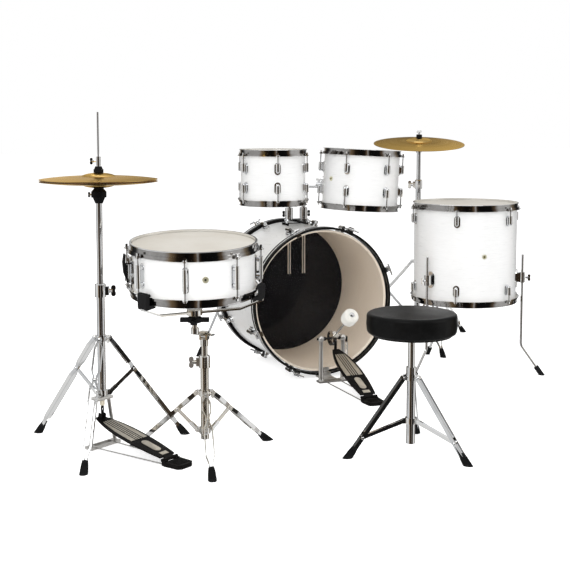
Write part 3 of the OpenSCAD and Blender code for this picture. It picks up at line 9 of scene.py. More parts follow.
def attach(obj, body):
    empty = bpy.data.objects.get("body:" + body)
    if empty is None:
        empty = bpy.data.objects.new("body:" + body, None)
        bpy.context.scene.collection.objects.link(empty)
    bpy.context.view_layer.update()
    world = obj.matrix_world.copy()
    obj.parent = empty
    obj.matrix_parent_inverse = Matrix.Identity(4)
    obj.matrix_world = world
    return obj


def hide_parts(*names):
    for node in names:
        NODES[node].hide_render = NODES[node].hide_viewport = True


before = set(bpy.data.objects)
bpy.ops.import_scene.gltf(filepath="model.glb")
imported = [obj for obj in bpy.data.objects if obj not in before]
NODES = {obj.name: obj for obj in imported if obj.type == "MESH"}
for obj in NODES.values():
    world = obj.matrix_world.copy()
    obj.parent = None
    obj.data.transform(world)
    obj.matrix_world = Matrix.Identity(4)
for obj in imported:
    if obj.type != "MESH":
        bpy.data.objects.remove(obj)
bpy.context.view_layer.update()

# All lengths are in metres.

HEADING = math.radians(-22)     # plan angle that the stands, snare and camera are turned by

# Where the pieces stand, in metres, as the CAD has them
BASS = Vector((0.0, 0.0, 0.301))
BASS_Y = 0.075
HAT = Vector((-1.006, -0.498, 0.0))
SNARE = Vector((-0.794, -0.779, 0.584))
SNARE_POLE = Vector((-0.740, -0.704, 0.0))
CRASH = Vector((0.678, 0.554, 0.0))
CRASH_PIVOT = 0.896
STOOL = Vector((-0.151, -0.910, 0.0))
FLOOR_TOM = Vector((0.578, -0.014, 0.0))
SMALL_TOM = Vector((-0.159, 0.215, 0.0))
MIDDLE_TOM = Vector((0.227, 0.221, 0.7675))
MIDDLE_LEAN = math.radians(3)


# ------------------------------------------------------------ shader helpers

def new_material(name, colour, **sockets):
    """A Principled material. The sockets are named in lower case with _ for a space."""
    mat = bpy.data.materials.new(name)
    mat.use_nodes = True
    shader = mat.node_tree.nodes["Principled BSDF"]
    shader.inputs["Base Color"].default_value = (*colour, 1)
    for key, value in sockets.items():
        shader.inputs[key.replace("_", " ").title().replace("Ior", "IOR")].default_value = value
    mat.diffuse_color = (*colour, 1)
    return mat, mat.node_tree, shader


def node(tree, kind, **settings):
    """A node with its properties set by name, and its inputs by in_NUMBER."""
    made = tree.nodes.new(kind)
    for key, value in settings.items():
        if key.startswith("in_"):
            made.inputs[int(key[3:])].default_value = value
        else:
            setattr(made, key, value)
    return made


def place(tree, scale=(1, 1, 1), about=(0, 0, 0)):
    """The point on the piece, in metres about a centre, with each axis scaled."""
    coord = node(tree, "ShaderNodeTexCoord")
    mapping = node(tree, "ShaderNodeMapping")
    mapping.inputs["Location"].default_value = [-a * s for a, s in zip(about, scale)]
    mapping.inputs["Scale"].default_value = scale
    tree.links.new(coord.outputs["Object"], mapping.inputs["Vector"])
    return mapping.outputs["Vector"]


def noise_at(tree, vector, scale, detail=3.0, rough=0.5, distort=0.0):
    made = node(tree, "ShaderNodeTexNoise")
    made.inputs["Scale"].default_value = scale
    made.inputs["Detail"].default_value = detail
    made.inputs["Roughness"].default_value = rough
    made.inputs["Distortion"].default_value = distort
    tree.links.new(vector, made.inputs["Vector"])
    return made.outputs["Fac"]


def noise_along(tree, value, scale, detail):
    """Noise that changes with one value only."""
    made = node(tree, "ShaderNodeTexNoise", noise_dimensions="1D")
    made.inputs["Scale"].default_value = scale
    made.inputs["Detail"].default_value = detail
    tree.links.new(value, made.inputs["W"])
    return made.outputs["Fac"]


def ramp(tree, fac, *stops):
    """A colour ramp: each stop is (place, grey or colour)."""
    made = node(tree, "ShaderNodeValToRGB")
    band = made.color_ramp
    while len(band.elements) < len(stops):
        band.elements.new(0.5)
    for element, (at, colour) in zip(band.elements, stops):
        element.position = at
        element.color = (*colour, 1) if isinstance(colour, tuple) else (colour,) * 3 + (1,)
    tree.links.new(fac, made.inputs["Fac"])
    return made.outputs["Color"]


def calc(tree, operation, a, b=0.0, c=0.0):
    """A math node on up to three values or outputs."""
    made = node(tree, "ShaderNodeMath", operation=operation)
    for socket, value in zip(made.inputs, (a, b, c)):
        if isinstance(value, (int, float)):
            socket.default_value = value
        else:
            tree.links.new(value, socket)
    return made.outputs[0]


def vector_calc(tree, operation, a, b=None):
    made = node(tree, "ShaderNodeVectorMath", operation=operation)
    for socket, value in zip(made.inputs, (a, b)):
        if value is None:
            continue
        if isinstance(value, (tuple, list, Vector)):
            socket.default_value = value
        else:
            tree.links.new(value, socket)
    return made


def blend_colour(tree, fac, a, b, mode="MIX"):
    """Colour a at fac 0 and b at fac 1."""
    made = node(tree, "ShaderNodeMix", data_type="RGBA", blend_type=mode)
    for socket, value in ((made.inputs[0], fac), (made.inputs[6], a), (made.inputs[7], b)):
        if isinstance(value, (int, float)):
            socket.default_value = value
        elif isinstance(value, tuple):
            socket.default_value = (*value, 1)
        else:
            tree.links.new(value, socket)
    return made.outputs[2]


def stripe(tree, value, centre, width):
    """1 where a value lies within half a width of a centre, else 0."""
    off = calc(tree, "ABSOLUTE", calc(tree, "SUBTRACT", value, centre))
    return calc(tree, "LESS_THAN", off, width / 2)


def scaled(colour, by):
    """A colour made lighter or darker, no channel past 1."""
    return tuple(min(1, c * by) for c in colour)


def paint(tree, shader, colour):
    tree.links.new(colour, shader.inputs["Base Color"])


def relief(tree, shader, *layers):
    """Bump from (height, strength, distance in metres) layers, one on another."""
    normal = None
    for height, strength, distance in layers:
        made = node(tree, "ShaderNodeBump")
        made.inputs["Strength"].default_value = strength
        made.inputs["Distance"].default_value = distance
        tree.links.new(height, made.inputs["Height"])
        if normal:
            tree.links.new(normal, made.inputs["Normal"])
        normal = made.outputs["Normal"]
    tree.links.new(normal, shader.inputs["Normal"])


def rough_from(tree, shader, fac, low, high):
    tree.links.new(calc(tree, "MULTIPLY_ADD", fac, high - low, low), shader.inputs["Roughness"])


def worn_edges(tree, low=0.50, high=0.56):
    """0 in hollows and on flats, 1 on raised edges."""
    made = node(tree, "ShaderNodeNewGeometry")
    return ramp(tree, made.outputs["Pointiness"], (low, 0.0), (high, 1.0))


# ---------------------------------------------------------------- materials

def chrome(name, bright, dull, low=0.02, high=0.09):
    """Plated steel: faint clouding, handling marks and fine polishing lines."""
    mat, tree, shader = new_material(name, bright, metallic=1.0)
    at = place(tree)
    cloud = noise_at(tree, at, 22, 4, 0.6)
    marks = noise_at(tree, place(tree, (1, 1, 0.15)), 420, 2, 0.6)
    colour = ramp(tree, cloud, (0.3, dull), (0.62, bright))
    edge = worn_edges(tree, 0.52, 0.60)
    paint(tree, shader, blend_colour(tree, edge, colour, (0.93, 0.93, 0.92)))
    rough_from(tree, shader, calc(tree, "MULTIPLY", cloud, marks), low, high * 1.8)
    relief(tree, shader, (marks, 0.02, 0.0003), (cloud, 0.02, 0.002))
    return mat


def cast_material(name, light, dark, low=0.30):
    """Cast and blasted metal: a fine satin grain, uneven tone and rubbed edges."""
    mat, tree, shader = new_material(name, light, metallic=1.0)
    grain = noise_at(tree, place(tree), 900, 3, 0.7)
    tone = noise_at(tree, place(tree), 35, 4, 0.6)
    colour = ramp(tree, tone, (0.3, dark), (0.65, light))
    paint(tree, shader, blend_colour(tree, worn_edges(tree), colour, scaled(light, 1.25)))
    rough_from(tree, shader, grain, low, low + 0.22)
    relief(tree, shader, (grain, 0.20, 0.0003), (tone, 0.05, 0.002))
    return mat


def wrap_material():
    """Gloss white wrap: a faint level grain under a clear layer."""
    mat, tree, shader = new_material("wrap_white", (0.95, 0.95, 0.945), coat_weight=0.4,
                                     coat_roughness=0.06)
    grain = noise_at(tree, place(tree, (0.08, 0.08, 1)), 320, 3, 0.6)
    cloud = noise_at(tree, place(tree), 7, 3, 0.5)
    colour = ramp(tree, calc(tree, "MULTIPLY_ADD", grain, 0.5, calc(tree, "MULTIPLY", cloud, 0.5)),
                  (0.3, (0.885, 0.885, 0.88)), (0.62, (0.955, 0.955, 0.95)))
    paint(tree, shader, colour)
    rough_from(tree, shader, grain, 0.22, 0.38)
    relief(tree, shader, (grain, 0.05, 0.0004), (cloud, 0.05, 0.004))
    return mat


def wood_material(name, light, dark, along):
    """Bare plies: long streaks of grain with pores; along is the scale on each axis."""
    mat, tree, shader = new_material(name, light)
    streak = noise_at(tree, place(tree, along), 9, 6, 0.62, 0.6)
    pores = noise_at(tree, place(tree, tuple(a * 3 for a in along)), 60, 2, 0.7)
    colour = ramp(tree, streak, (0.30, dark), (0.55, light), (0.75, scaled(light, 1.07)))
    fleck = ramp(tree, pores, (0.38, 0.55), (0.5, 1.0))
    paint(tree, shader, blend_colour(tree, 0.35, colour, fleck, "MULTIPLY"))
    rough_from(tree, shader, pores, 0.45, 0.65)
    relief(tree, shader, (streak, 0.15, 0.0008), (pores, 0.2, 0.0003))
    return mat


def film_black():
    """Gloss black film, a little dusty."""
    mat, tree, shader = new_material("film_black", (0.006, 0.004, 0.005), coat_weight=0.04,
                                     coat_roughness=0.04, specular_ior_level=0.12)
    dust = noise_at(tree, place(tree), 160, 4, 0.7)
    paint(tree, shader, ramp(tree, dust, (0.45, (0.0030, 0.0020, 0.0025)), (0.8, (0.008, 0.006, 0.007))))
    rough_from(tree, shader, dust, 0.05, 0.16)
    relief(tree, shader, (noise_at(tree, place(tree), 5, 2), 0.05, 0.004))
    return mat


def pad_material(name, hinge, across):
    """Cast metal pads with four black rubber lines along the long one."""
    mat = cast_material(name, (0.60, 0.56, 0.48), (0.46, 0.42, 0.35), 0.30)
    tree = mat.node_tree
    shader = tree.nodes["Principled BSDF"]
    colour = shader.inputs["Base Color"].links[0].from_socket
    at = place(tree, about=hinge)
    off = calc(tree, "ABSOLUTE", vector_calc(tree, "DOT_PRODUCT", at, across).outputs["Value"])
    away = vector_calc(tree, "LENGTH", at).outputs["Value"]
    near = stripe(tree, calc(tree, "MODULO", off, PAD_PITCH), PAD_PITCH / 2, PAD_LINE)
    far = calc(tree, "GREATER_THAN", away, PAD_FROM)
    inside = calc(tree, "LESS_THAN", off, PAD_PITCH * 2)
    lines = calc(tree, "MULTIPLY", near, calc(tree, "MULTIPLY", far, inside))
    paint(tree, shader, blend_colour(tree, lines, colour, (0.008, 0.008, 0.008)))
    tree.links.new(calc(tree, "SUBTRACT", 1.0, lines), shader.inputs["Metallic"])
    return mat


def film_clear():
    """Clear film: see-through, with a faint smoky cloud and scuffs."""
    mat, tree, shader = new_material("film_clear", (0.30, 0.31, 0.32), roughness=0.04,
                                     specular_ior_level=1.0)
    cloud = noise_at(tree, place(tree), 4, 3, 0.5)
    scuff = noise_at(tree, place(tree), 90, 4, 0.7)
    haze = calc(tree, "MULTIPLY_ADD", cloud, 0.014, calc(tree, "MULTIPLY_ADD", scuff, 0.010, 0.001))
    tree.links.new(haze, shader.inputs["Alpha"])
    rough_from(tree, shader, scuff, 0.03, 0.10)
    paint(tree, shader, ramp(tree, cloud, (0.3, (0.22, 0.23, 0.24)), (0.7, (0.38, 0.39, 0.40))))
    return mat


def film_coated(name, light, dark):
    """Coated film: a fine sprayed speckle with a soft stain in places."""
    mat, tree, shader = new_material(name, light)
    speckle = noise_at(tree, place(tree), 900, 2, 0.6)
    stain = noise_at(tree, place(tree), 11, 4, 0.55)
    colour = ramp(tree, stain, (0.30, dark), (0.68, light))
    fleck = ramp(tree, speckle, (0.35, 0.75), (0.6, 1.0))
    paint(tree, shader, blend_colour(tree, 0.18, colour, fleck, "MULTIPLY"))
    rough_from(tree, shader, speckle, 0.42, 0.62)
    relief(tree, shader, (speckle, 0.25, 0.0003))
    return mat


def lacquer_black():
    """Black lacquered hoop with a pale inlay line round its outer face."""
    mat, tree, shader = new_material("hoop_lacquer", (0.012, 0.012, 0.012), coat_weight=0.08,
                                     coat_roughness=0.05, specular_ior_level=0.15)
    at = place(tree, about=BASS)
    parts = node(tree, "ShaderNodeSeparateXYZ")
    tree.links.new(at, parts.inputs[0])
    flat = vector_calc(tree, "MULTIPLY", at, (1, 0, 1)).outputs[0]
    radius = vector_calc(tree, "LENGTH", flat).outputs["Value"]
    outer = calc(tree, "GREATER_THAN", radius, HOOP_R - HOOP_SKIN)
    lines = [stripe(tree, parts.outputs["Y"], middle, INLAY_W)
             for middle in (BASS_Y + HOOP_W / 2, BASS_Y + BASS_LEN - HOOP_W / 2)]
    inlay = calc(tree, "MULTIPLY", outer, calc(tree, "MAXIMUM", *lines))
    grain = noise_at(tree, place(tree), 300, 3, 0.7)
    pearl = noise_at(tree, place(tree), 130, 3, 0.6)
    black = ramp(tree, grain, (0.4, 0.004), (0.7, 0.010))
    white = ramp(tree, pearl, (0.35, (0.62, 0.62, 0.62)), (0.65, (0.90, 0.90, 0.89)))
    paint(tree, shader, blend_colour(tree, inlay, black, white))
    rough_from(tree, shader, grain, 0.12, 0.24)
    relief(tree, shader, (grain, 0.05, 0.0004))
    return mat


def bronze_material(name, centre, axis):
    """Lathed cymbal metal: turned grooves and tone bands round its own axis."""
    mat, tree, shader = new_material(name, (0.80, 0.58, 0.24), metallic=1.0, anisotropic=0.6,
                                     specular_tint=(0.93, 0.76, 0.46, 1))
    away = vector_calc(tree, "CROSS_PRODUCT", place(tree, about=centre), tuple(axis))
    radius = vector_calc(tree, "LENGTH", away.outputs[0]).outputs["Value"]
    around = vector_calc(tree, "NORMALIZE", away.outputs[0]).outputs[0]
    tree.links.new(around, shader.inputs["Tangent"])
    groove = noise_along(tree, radius, 420, 4)
    band = noise_along(tree, radius, 60, 3)
    tarnish = noise_at(tree, place(tree), 14, 4, 0.6)
    colour = ramp(tree, band, (0.30, (0.60, 0.39, 0.13)), (0.5, (0.71, 0.49, 0.19)),
                  (0.72, (0.80, 0.58, 0.26)))
    stain = ramp(tree, tarnish, (0.35, (0.62, 0.50, 0.30)), (0.6, (1.0, 0.95, 0.85)))
    colour = blend_colour(tree, 0.15, colour, stain, "MULTIPLY")
    paint(tree, shader, colour)
    rough_from(tree, shader, groove, 0.20, 0.34)
    relief(tree, shader, (groove, 0.12, 0.0002), (tarnish, 0.02, 0.002))
    return mat


def rubber_material(name, colour):
    """Moulded rubber: a fine grit, a little dust and dry, paler edges."""
    mat, tree, shader = new_material(name, colour, specular_ior_level=0.02)
    grit = noise_at(tree, place(tree), 500, 3, 0.7)
    dust = noise_at(tree, place(tree), 30, 4, 0.6)
    dusty = ramp(tree, dust, (0.35, scaled(colour, 0.7)), (0.7, scaled(colour, 1.9)))
    colour = blend_colour(tree, worn_edges(tree), dusty, (0.015, 0.015, 0.0155))
    paint(tree, shader, colour)
    rough_from(tree, shader, grit, 0.48, 0.72)
    relief(tree, shader, (grit, 0.35, 0.0004))
    return mat


def plastic_material(name, colour):
    """Moulded plastic: an uneven tone and a fine spark-eroded texture."""
    mat, tree, shader = new_material(name, colour, specular_ior_level=0.05)
    fine = noise_at(tree, place(tree), 700, 3, 0.65)
    tone = noise_at(tree, place(tree), 40, 3)
    paint(tree, shader, ramp(tree, tone, (0.3, scaled(colour, 0.8)), (0.7, scaled(colour, 1.25))))
    rough_from(tree, shader, fine, 0.28, 0.46)
    relief(tree, shader, (fine, 0.15, 0.0003))
    return mat


def felt_material(name, colour, sheen=0.6):
    """Pressed felt: a soft uneven tone and a coarse nap."""
    mat, tree, shader = new_material(name, colour, sheen_weight=sheen, sheen_roughness=0.6,
                                     specular_ior_level=0.1)
    nap = noise_at(tree, place(tree), 420, 5, 0.8)
    tone = noise_at(tree, place(tree), 60, 4, 0.6)
    paint(tree, shader, ramp(tree, tone, (0.3, scaled(colour, 0.84)), (0.65, colour)))
    rough_from(tree, shader, nap, 0.85, 1.0)
    relief(tree, shader, (nap, 0.8, 0.0012))
    return mat


# ------------------------------------------------- which surface gets which

def islands(mesh):
    """The polygons of each separate solid in a mesh, found by shared corner positions."""
    parent = {}

    def root(a):
        while parent[a] != a:
            parent[a] = parent[parent[a]]
            a = parent[a]
        return a

    def key(index):
        return tuple(round(c, 6) for c in mesh.vertices[index].co)

    keys = [key(i) for i in range(len(mesh.vertices))]
    for k in keys:
        parent.setdefault(k, k)
    for polygon in mesh.polygons:
        first = root(keys[polygon.vertices[0]])
        for v in polygon.vertices[1:]:
            parent[root(keys[v])] = first
    groups = defaultdict(list)
    for polygon in mesh.polygons:
        groups[root(keys[polygon.vertices[0]])].append(polygon.index)
    return list(groups.values())


def island_boxes(mesh):
    """(polygons, lowest corner, highest corner) of each solid, in metres."""
    out = []
    for polygons in islands(mesh):
        points = [mesh.vertices[v].co for i in polygons for v in mesh.polygons[i].vertices]
        low = Vector(min(p[k] for p in points) for k in range(3))
        high = Vector(max(p[k] for p in points) for k in range(3))
        out.append((polygons, low, high))
    return out


def dress(name, base, solids=(), faces=()):
    """Gives a CAD node its materials. Each of solids is (material, test of a solid's two
    corners), and each of faces is (material, test of a polygon's centre and normal)."""
    obj = NODES[name]
    mesh = obj.data
    mats = [base]
    for mat, _ in (*solids, *faces):
        if mat not in mats:
            mats.append(mat)
    mesh.materials.clear()
    for mat in mats:
        mesh.materials.append(mat)
    if solids:
        for polygons, low, high in island_boxes(mesh):
            for mat, test in solids:
                if test(low, high):
                    for i in polygons:
                        mesh.polygons[i].material_index = mats.index(mat)
                    break
    for polygon in mesh.polygons if faces else ():
        for mat, test in faces:
            if test(polygon.center, polygon.normal):
                polygon.material_index = mats.index(mat)
                break


def round_about(centre, axis=Vector((0, 0, 1))):
    """A point's distance from an axis through a centre."""
    def distance(p):
        return (p - centre).cross(axis).length
    return distance


# -------------------------------------------------------------- the looks

HOOP_R, HOOP_W, BASS_LEN, INLAY_W = 0.292, 0.038, 0.444, 0.006
HOOP_SKIN = 0.0012          # depth of the hoop's outer face that carries the inlay
BASS_IN_R = 0.2775          # just inside the bass drum's outer face
SNARE_TILT = math.radians(4.5)
CRASH_TILT = math.radians(8)
UP = Vector((0, 0, 1))
CRASH_TOP = CRASH + UP * CRASH_PIVOT
WRAP_T = 0.0015             # a shell's outer skin that keeps the wrap
LIP = 0.4                   # a hoop's face is a lip where its normal leans this far to the axis
FOOT_TOP, ON_FLOOR = 0.08, 0.002
EYELET_D = 0.0195           # no other solid of the lugs' nodes is so small
ANY, FAR = -1, 0.3          # for band_of: no lowest distance from the axis, no end along it
SIDES = ("left", "right", "back")

CHROME = chrome("chrome", (0.86, 0.87, 0.88), (0.72, 0.73, 0.75))
# The drum hoops' chrome, darkened all over: painted shade standing in for the dark room that the hoops
# mirror.
HOOP_CHROME_PAINTED_DARK = chrome("chrome_hoop_painted_dark", (0.44, 0.43, 0.42), (0.32, 0.31, 0.30))
NICKEL = chrome("nickel", (0.84, 0.80, 0.73), (0.70, 0.66, 0.58), 0.08, 0.2)
CAST = cast_material("cast_grey", (0.72, 0.71, 0.69), (0.56, 0.55, 0.53))
PLATED_BLACK = cast_material("plated_black", (0.05, 0.05, 0.052), (0.03, 0.03, 0.03), 0.25)
EYELET = cast_material("eyelet_brass", (0.86, 0.78, 0.60), (0.72, 0.62, 0.44), 0.55)
WRAP = wrap_material()
# The bass drum's plies: the plies' own tan, raised well above the toms' same plies as painted light that
# makes up for the shade inside the drum.
MAPLE_LIGHTENED = wood_material("ply_tan", (0.95, 0.84, 0.71), (0.89, 0.77, 0.63), (3, 26, 3))
MAPLE_UP = wood_material("ply_tan_upright", (0.62, 0.49, 0.37), (0.50, 0.38, 0.27), (3, 3, 26))
COATED = film_coated("film_coated", (0.72, 0.69, 0.63), (0.66, 0.62, 0.55))
RUBBER = rubber_material("rubber_black", (0.006, 0.006, 0.0063))
PLASTIC = plastic_material("plastic_black", (0.007, 0.007, 0.0075))
SATIN = plastic_material("satin_black", (0.007, 0.0065, 0.006))
CREAM = plastic_material("plastic_cream", (0.66, 0.60, 0.48))
FELT_WHITE = felt_material("felt_white", (0.86, 0.84, 0.78))
FELT_BLACK = felt_material("felt_black", (0.008, 0.008, 0.008), 0.05)


def leaning(tilt):
    """The axis of a thing that leans by tilt from upright, its top towards the camera's side."""
    return Matrix.Rotation(HEADING, 3, "Z") @ Vector((0, -math.sin(tilt), math.cos(tilt)))


SNARE_AXIS = leaning(SNARE_TILT)
CRASH_AXIS = leaning(CRASH_TILT)


def low_and_small(low, high):
    """A foot: a solid that stands on the floor and is low."""
    return low.z < ON_FLOOR and high.z < FOOT_TOP


def tiny(low, high):
    """A vent's eyelet, the only solid so small."""
    return max(high - low) < EYELET_D


def rubber_foot(pole, reach, ear, top):
    """Test for the end of a leg that runs down from (ear, top) to reach out from a pole."""
    away = round_about(pole)
    lean = math.atan2(reach - ear, top)
    return lambda c, n: (reach - away(c)) * math.sin(lean) + c.z * math.cos(lean) < FOOT_L


def band_of(axis, centre, low, high, r_low, r_high=1.0):
    """Test for what lies low to high along an axis from a centre, r_low to r_high off it."""
    off = round_about(centre, axis)
    return lambda c, n: low < (c - centre).dot(axis) < high and r_low < off(c) < r_high


# Drums
# Inside the bass shell, the lightened plies: painted light for the drum's shaded inside.
dress("bass_shell", WRAP, faces=[(MAPLE_LIGHTENED, lambda c, n: math.hypot(c.x, c.z - BASS.z) < BASS_IN_R)])
dress("bass_batter_head", film_clear())
dress("bass_front_head", film_black())
dress("bass_hoops", lacquer_black())
for name in ("bass_lugs", "bass_claws", "tom_holder"):
    dress(name, CHROME)
for side in ("left", "right"):
    dress(f"spur_{side}", CHROME, solids=[(RUBBER, low_and_small)])

for drum, centre, radius, axis in (
    ("small_tom", SMALL_TOM, 0.127, UP),
    ("middle_tom", MIDDLE_TOM, 0.1525, Vector((math.sin(MIDDLE_LEAN), 0, math.cos(MIDDLE_LEAN)))),
    ("floor_tom", FLOOR_TOM, 0.203, UP),
    ("snare", SNARE, 0.178, SNARE_AXIS),
):
    off_axis = round_about(centre, axis)
    dress(f"{drum}_shell", WRAP, faces=[(MAPLE_UP, lambda c, n, r=radius, d=off_axis: d(c) < r - WRAP_T)])
    dress(f"{drum}_heads", COATED)
    # A hoop's outer faces take the darkened chrome, a painted shade; its lips keep the bright chrome.
    dress(f"{drum}_hoops", HOOP_CHROME_PAINTED_DARK, faces=[(CHROME, lambda c, n, a=axis: abs(n.dot(a)) > LIP)])
    dress(f"{drum}_lugs", CHROME, solids=[(EYELET, tiny)])
for side in SIDES:
    dress(f"floor_leg_{side}", CHROME, solids=[(RUBBER, low_and_small)])
dress("snare_strainer", CHROME)
dress("strainer_lever", PLASTIC)
dress("snare_wires", CHROME)

# Stands: each braced base by its pole, its reach and the height of its upper collar
FOOT_L, EAR = 0.0398, 0.0255
NUT_Z = 0.41                # of the basket, only its black nut and grips lie wholly above this
HAT_CUP, HAT_CUP_R, HAT_TUBE_R, HAT_FELT_Z = (0.754, 0.7975), 0.0231, 0.0097, 0.802
CHAIN, CONNECTOR, CLUTCH_FELTS = (0.05, 0.1293), (0.1289, 0.1521), (0.8345, 0.8669)
ROD_R, CLUTCH_R, CRASH_STEM_R = 0.0031, 0.0049, 0.0041
CRASH_FELTS = (0.0249, 0.0337), (0.0354, 0.0480)
for name, metal, pole, reach, top in (
    ("snare", NICKEL, SNARE_POLE, 0.240, 0.190),
    ("hihat", CHROME, HAT, 0.275, 0.339),
    ("crash", CHROME, CRASH, 0.340, 0.370),
):
    dress(f"{name}_tripod", metal, faces=[(RUBBER, rubber_foot(pole, reach, EAR, top))])
dress("snare_mast", NICKEL)
dress("snare_basket", NICKEL, solids=[(RUBBER, lambda low, high: low.z > NUT_Z)])
dress("hihat_tube", CHROME, faces=[
    (PLASTIC, band_of(UP, HAT, *HAT_CUP, HAT_TUBE_R, HAT_CUP_R)),
    (FELT_BLACK, band_of(UP, HAT, HAT_CUP[1], HAT_FELT_Z, 0.0, HAT_CUP_R)),
])
dress("hihat_rod", CHROME, faces=[
    (SATIN, band_of(UP, HAT, *CHAIN, ANY)),
    (CREAM, band_of(UP, HAT, *CONNECTOR, ROD_R)),
    (FELT_BLACK, band_of(UP, HAT, *CLUTCH_FELTS, CLUTCH_R)),
])
dress("crash_mast", CHROME)
dress("crash_tilter", CHROME, faces=[
    (FELT_BLACK, band_of(CRASH_AXIS, CRASH_TOP, *felt, CRASH_STEM_R)) for felt in CRASH_FELTS])
dress("hihat_top_cymbal", bronze_material("bronze_hat", HAT, UP))
dress("hihat_bottom_cymbal", bronze_material("bronze_hat_low", HAT, UP))
dress("crash_cymbal", bronze_material("bronze_crash", CRASH_TOP, CRASH_AXIS))

# Pedals
HINGE_Z, BOARD_L, PAD_Z, PAD_END = 0.016, 0.310, 0.0062, 0.9
PAD_PITCH, PAD_LINE, PAD_FROM = 0.009, 0.0042, 0.115
HAT_HINGE_R, HAT_TOE_Z = 0.28595, 0.084
KICK_HINGE = Vector((0, -0.32206, HINGE_Z))
KICK_TOE_Z, AXLE_Z, BEATER_LEAN = 0.128, 0.170, math.radians(56)
HEEL_FROM = 0.016           # the heel plate's black begins this far on the toe's side of the hinge
SHAFT_FROM, CLAMP, CLAMP_R = 0.041, (0.010, 0.042), 0.0055
BEATER_OUT, NUT_FROM, NUT_R = 0.190, 0.0239, 0.0102
AHEAD = Vector((0, 1, 0))
PEDAL_TURN = math.radians(-38)
HAT_PEDAL = Matrix.Rotation(HEADING + PEDAL_TURN, 3, "Z") @ Vector((1, 0, 0))
HAT_HINGE = HAT + HAT_PEDAL * HAT_HINGE_R + UP * HINGE_Z


def above_board(hinge, ahead, toe_z):
    """Test for the raised pads on a footboard that climbs ahead from its hinge."""
    lean = math.asin((toe_z - HINGE_Z) / BOARD_L)
    along = ahead * math.cos(lean) + UP * math.sin(lean)
    up = UP * math.cos(lean) - ahead * math.sin(lean)
    return lambda c, n: (c - hinge).dot(up) > PAD_Z and (c - hinge).dot(along) < BOARD_L * PAD_END


SHAFT = Vector((0, -math.sin(BEATER_LEAN), math.cos(BEATER_LEAN)))
AXLE = Vector((0, 0, AXLE_Z))
BEATER = AXLE + SHAFT * BEATER_OUT
HAT_PAD = pad_material("hat_pad", HAT_HINGE, HAT_PEDAL.cross(UP))
KICK_PAD = pad_material("kick_pad", KICK_HINGE, (1, 0, 0))

dress("hihat_pedal_frame", CAST, faces=[
    (SATIN, lambda c, n: (c - HAT).dot(HAT_PEDAL) > HAT_HINGE_R - HEEL_FROM)])
dress("hihat_footboard", SATIN, faces=[(HAT_PAD, above_board(HAT_HINGE, -HAT_PEDAL, HAT_TOE_Z))])
dress("kick_frame", CAST, faces=[(SATIN, lambda c, n: c.y < KICK_HINGE.y + HEEL_FROM)])
dress("kick_footboard", SATIN, faces=[(KICK_PAD, above_board(KICK_HINGE, AHEAD, KICK_TOE_Z))])
dress("kick_axle", PLATED_BLACK, faces=[(CHROME, band_of(SHAFT, AXLE, SHAFT_FROM, FAR, ANY)),
                                        (NICKEL, band_of(SHAFT, AXLE, *CLAMP, CLAMP_R))])
dress("kick_beater", FELT_WHITE, faces=[(CHROME, band_of(SHAFT, BEATER, NUT_FROM, FAR, ANY, NUT_R))])
dress("kick_spring", CHROME)

# Stool
for name in ("stool_post", "stool_base", "stool_collar", "stool_seat"):
    dress(name, CHROME)
STOOL_TOP, STOOL_REACH = 0.232, 0.205
STOOL_FOOT = rubber_foot(STOOL, STOOL_REACH, EAR, STOOL_TOP)
for side in SIDES:
    dress(f"stool_leg_{side}", CHROME, faces=[(RUBBER, STOOL_FOOT)])
    dress(f"stool_strut_{side}", CHROME)


# ------------------------------------------------------------- stool's seat

SEAT_R, SEAT_LOW, SEAT_THICK = 0.1375, 0.366, 0.062
CROWN = 0.0035              # rise of the seat's middle over its shoulder
PUCKER, PUCKER_W = 0.0007, 0.02
SAG = 0.0008
BOARD_R, SOCKET_R, SOCKET_IN = SEAT_R - 0.0155, 0.0200, 0.0128


def lathe(name, profile, centre, segments=96):
    """A closed revolved mesh. Its (radius, height) points start and end on the axis, or
    come back to the first."""
    mesh = bpy.data.meshes.new(name)
    obj = bpy.data.objects.new(name, mesh)
    bpy.context.scene.collection.objects.link(obj)
    bm = bmesh.new()
    rings = []
    for r, z in profile:
        if r == 0:
            rings.append([bm.verts.new((centre.x, centre.y, z))])
            continue
        turns = [2 * math.pi * k / segments for k in range(segments)]
        rings.append([bm.verts.new((centre.x + r * math.cos(t), centre.y + r * math.sin(t), z))
                      for t in turns])
    if profile[0] == profile[-1]:
        bmesh.ops.delete(bm, geom=rings.pop(), context="VERTS")
        rings.append(rings[0])
    for a, b in zip(rings, rings[1:]):
        for k in range(segments):
            k2 = (k + 1) % segments
            corners = [a[k % len(a)], a[k2 % len(a)], b[k2 % len(b)], b[k % len(b)]]
            bm.faces.new(list(dict.fromkeys(corners)))
    bmesh.ops.recalc_face_normals(bm, faces=bm.faces)
    bm.to_mesh(mesh)
    bm.free()
    for polygon in mesh.polygons:
        polygon.use_smooth = True
    return obj


def arc(cx, cz, r, start, end, steps):
    """(radius, height) points round an arc, in degrees."""
    turns = [math.radians(start + (end - start) * k / steps) for k in range(steps + 1)]
    return [(cx + r * math.cos(t), cz + r * math.sin(t)) for t in turns]


def vinyl_material():
    """Black vinyl: a pebbled grain, soft sheen and faint scuffs."""
    mat, tree, shader = new_material("vinyl_black", (0.005, 0.005, 0.0055), specular_ior_level=0.07)
    at = place(tree)
    cells = node(tree, "ShaderNodeTexVoronoi", feature="DISTANCE_TO_EDGE")
    cells.inputs["Scale"].default_value = 650
    tree.links.new(at, cells.inputs["Vector"])
    pebble = ramp(tree, cells.outputs["Distance"], (0.0, 0.0), (0.18, 1.0))
    scuff = noise_at(tree, at, 38, 5, 0.65)
    paint(tree, shader, ramp(tree, scuff, (0.35, 0.0045), (0.75, 0.0075)))
    rough_from(tree, shader, scuff, 0.28, 0.34)
    relief(tree, shader, (pebble, 0.03, 0.0002), (noise_at(tree, at, 16, 3), 0.02, 0.003))
    return mat


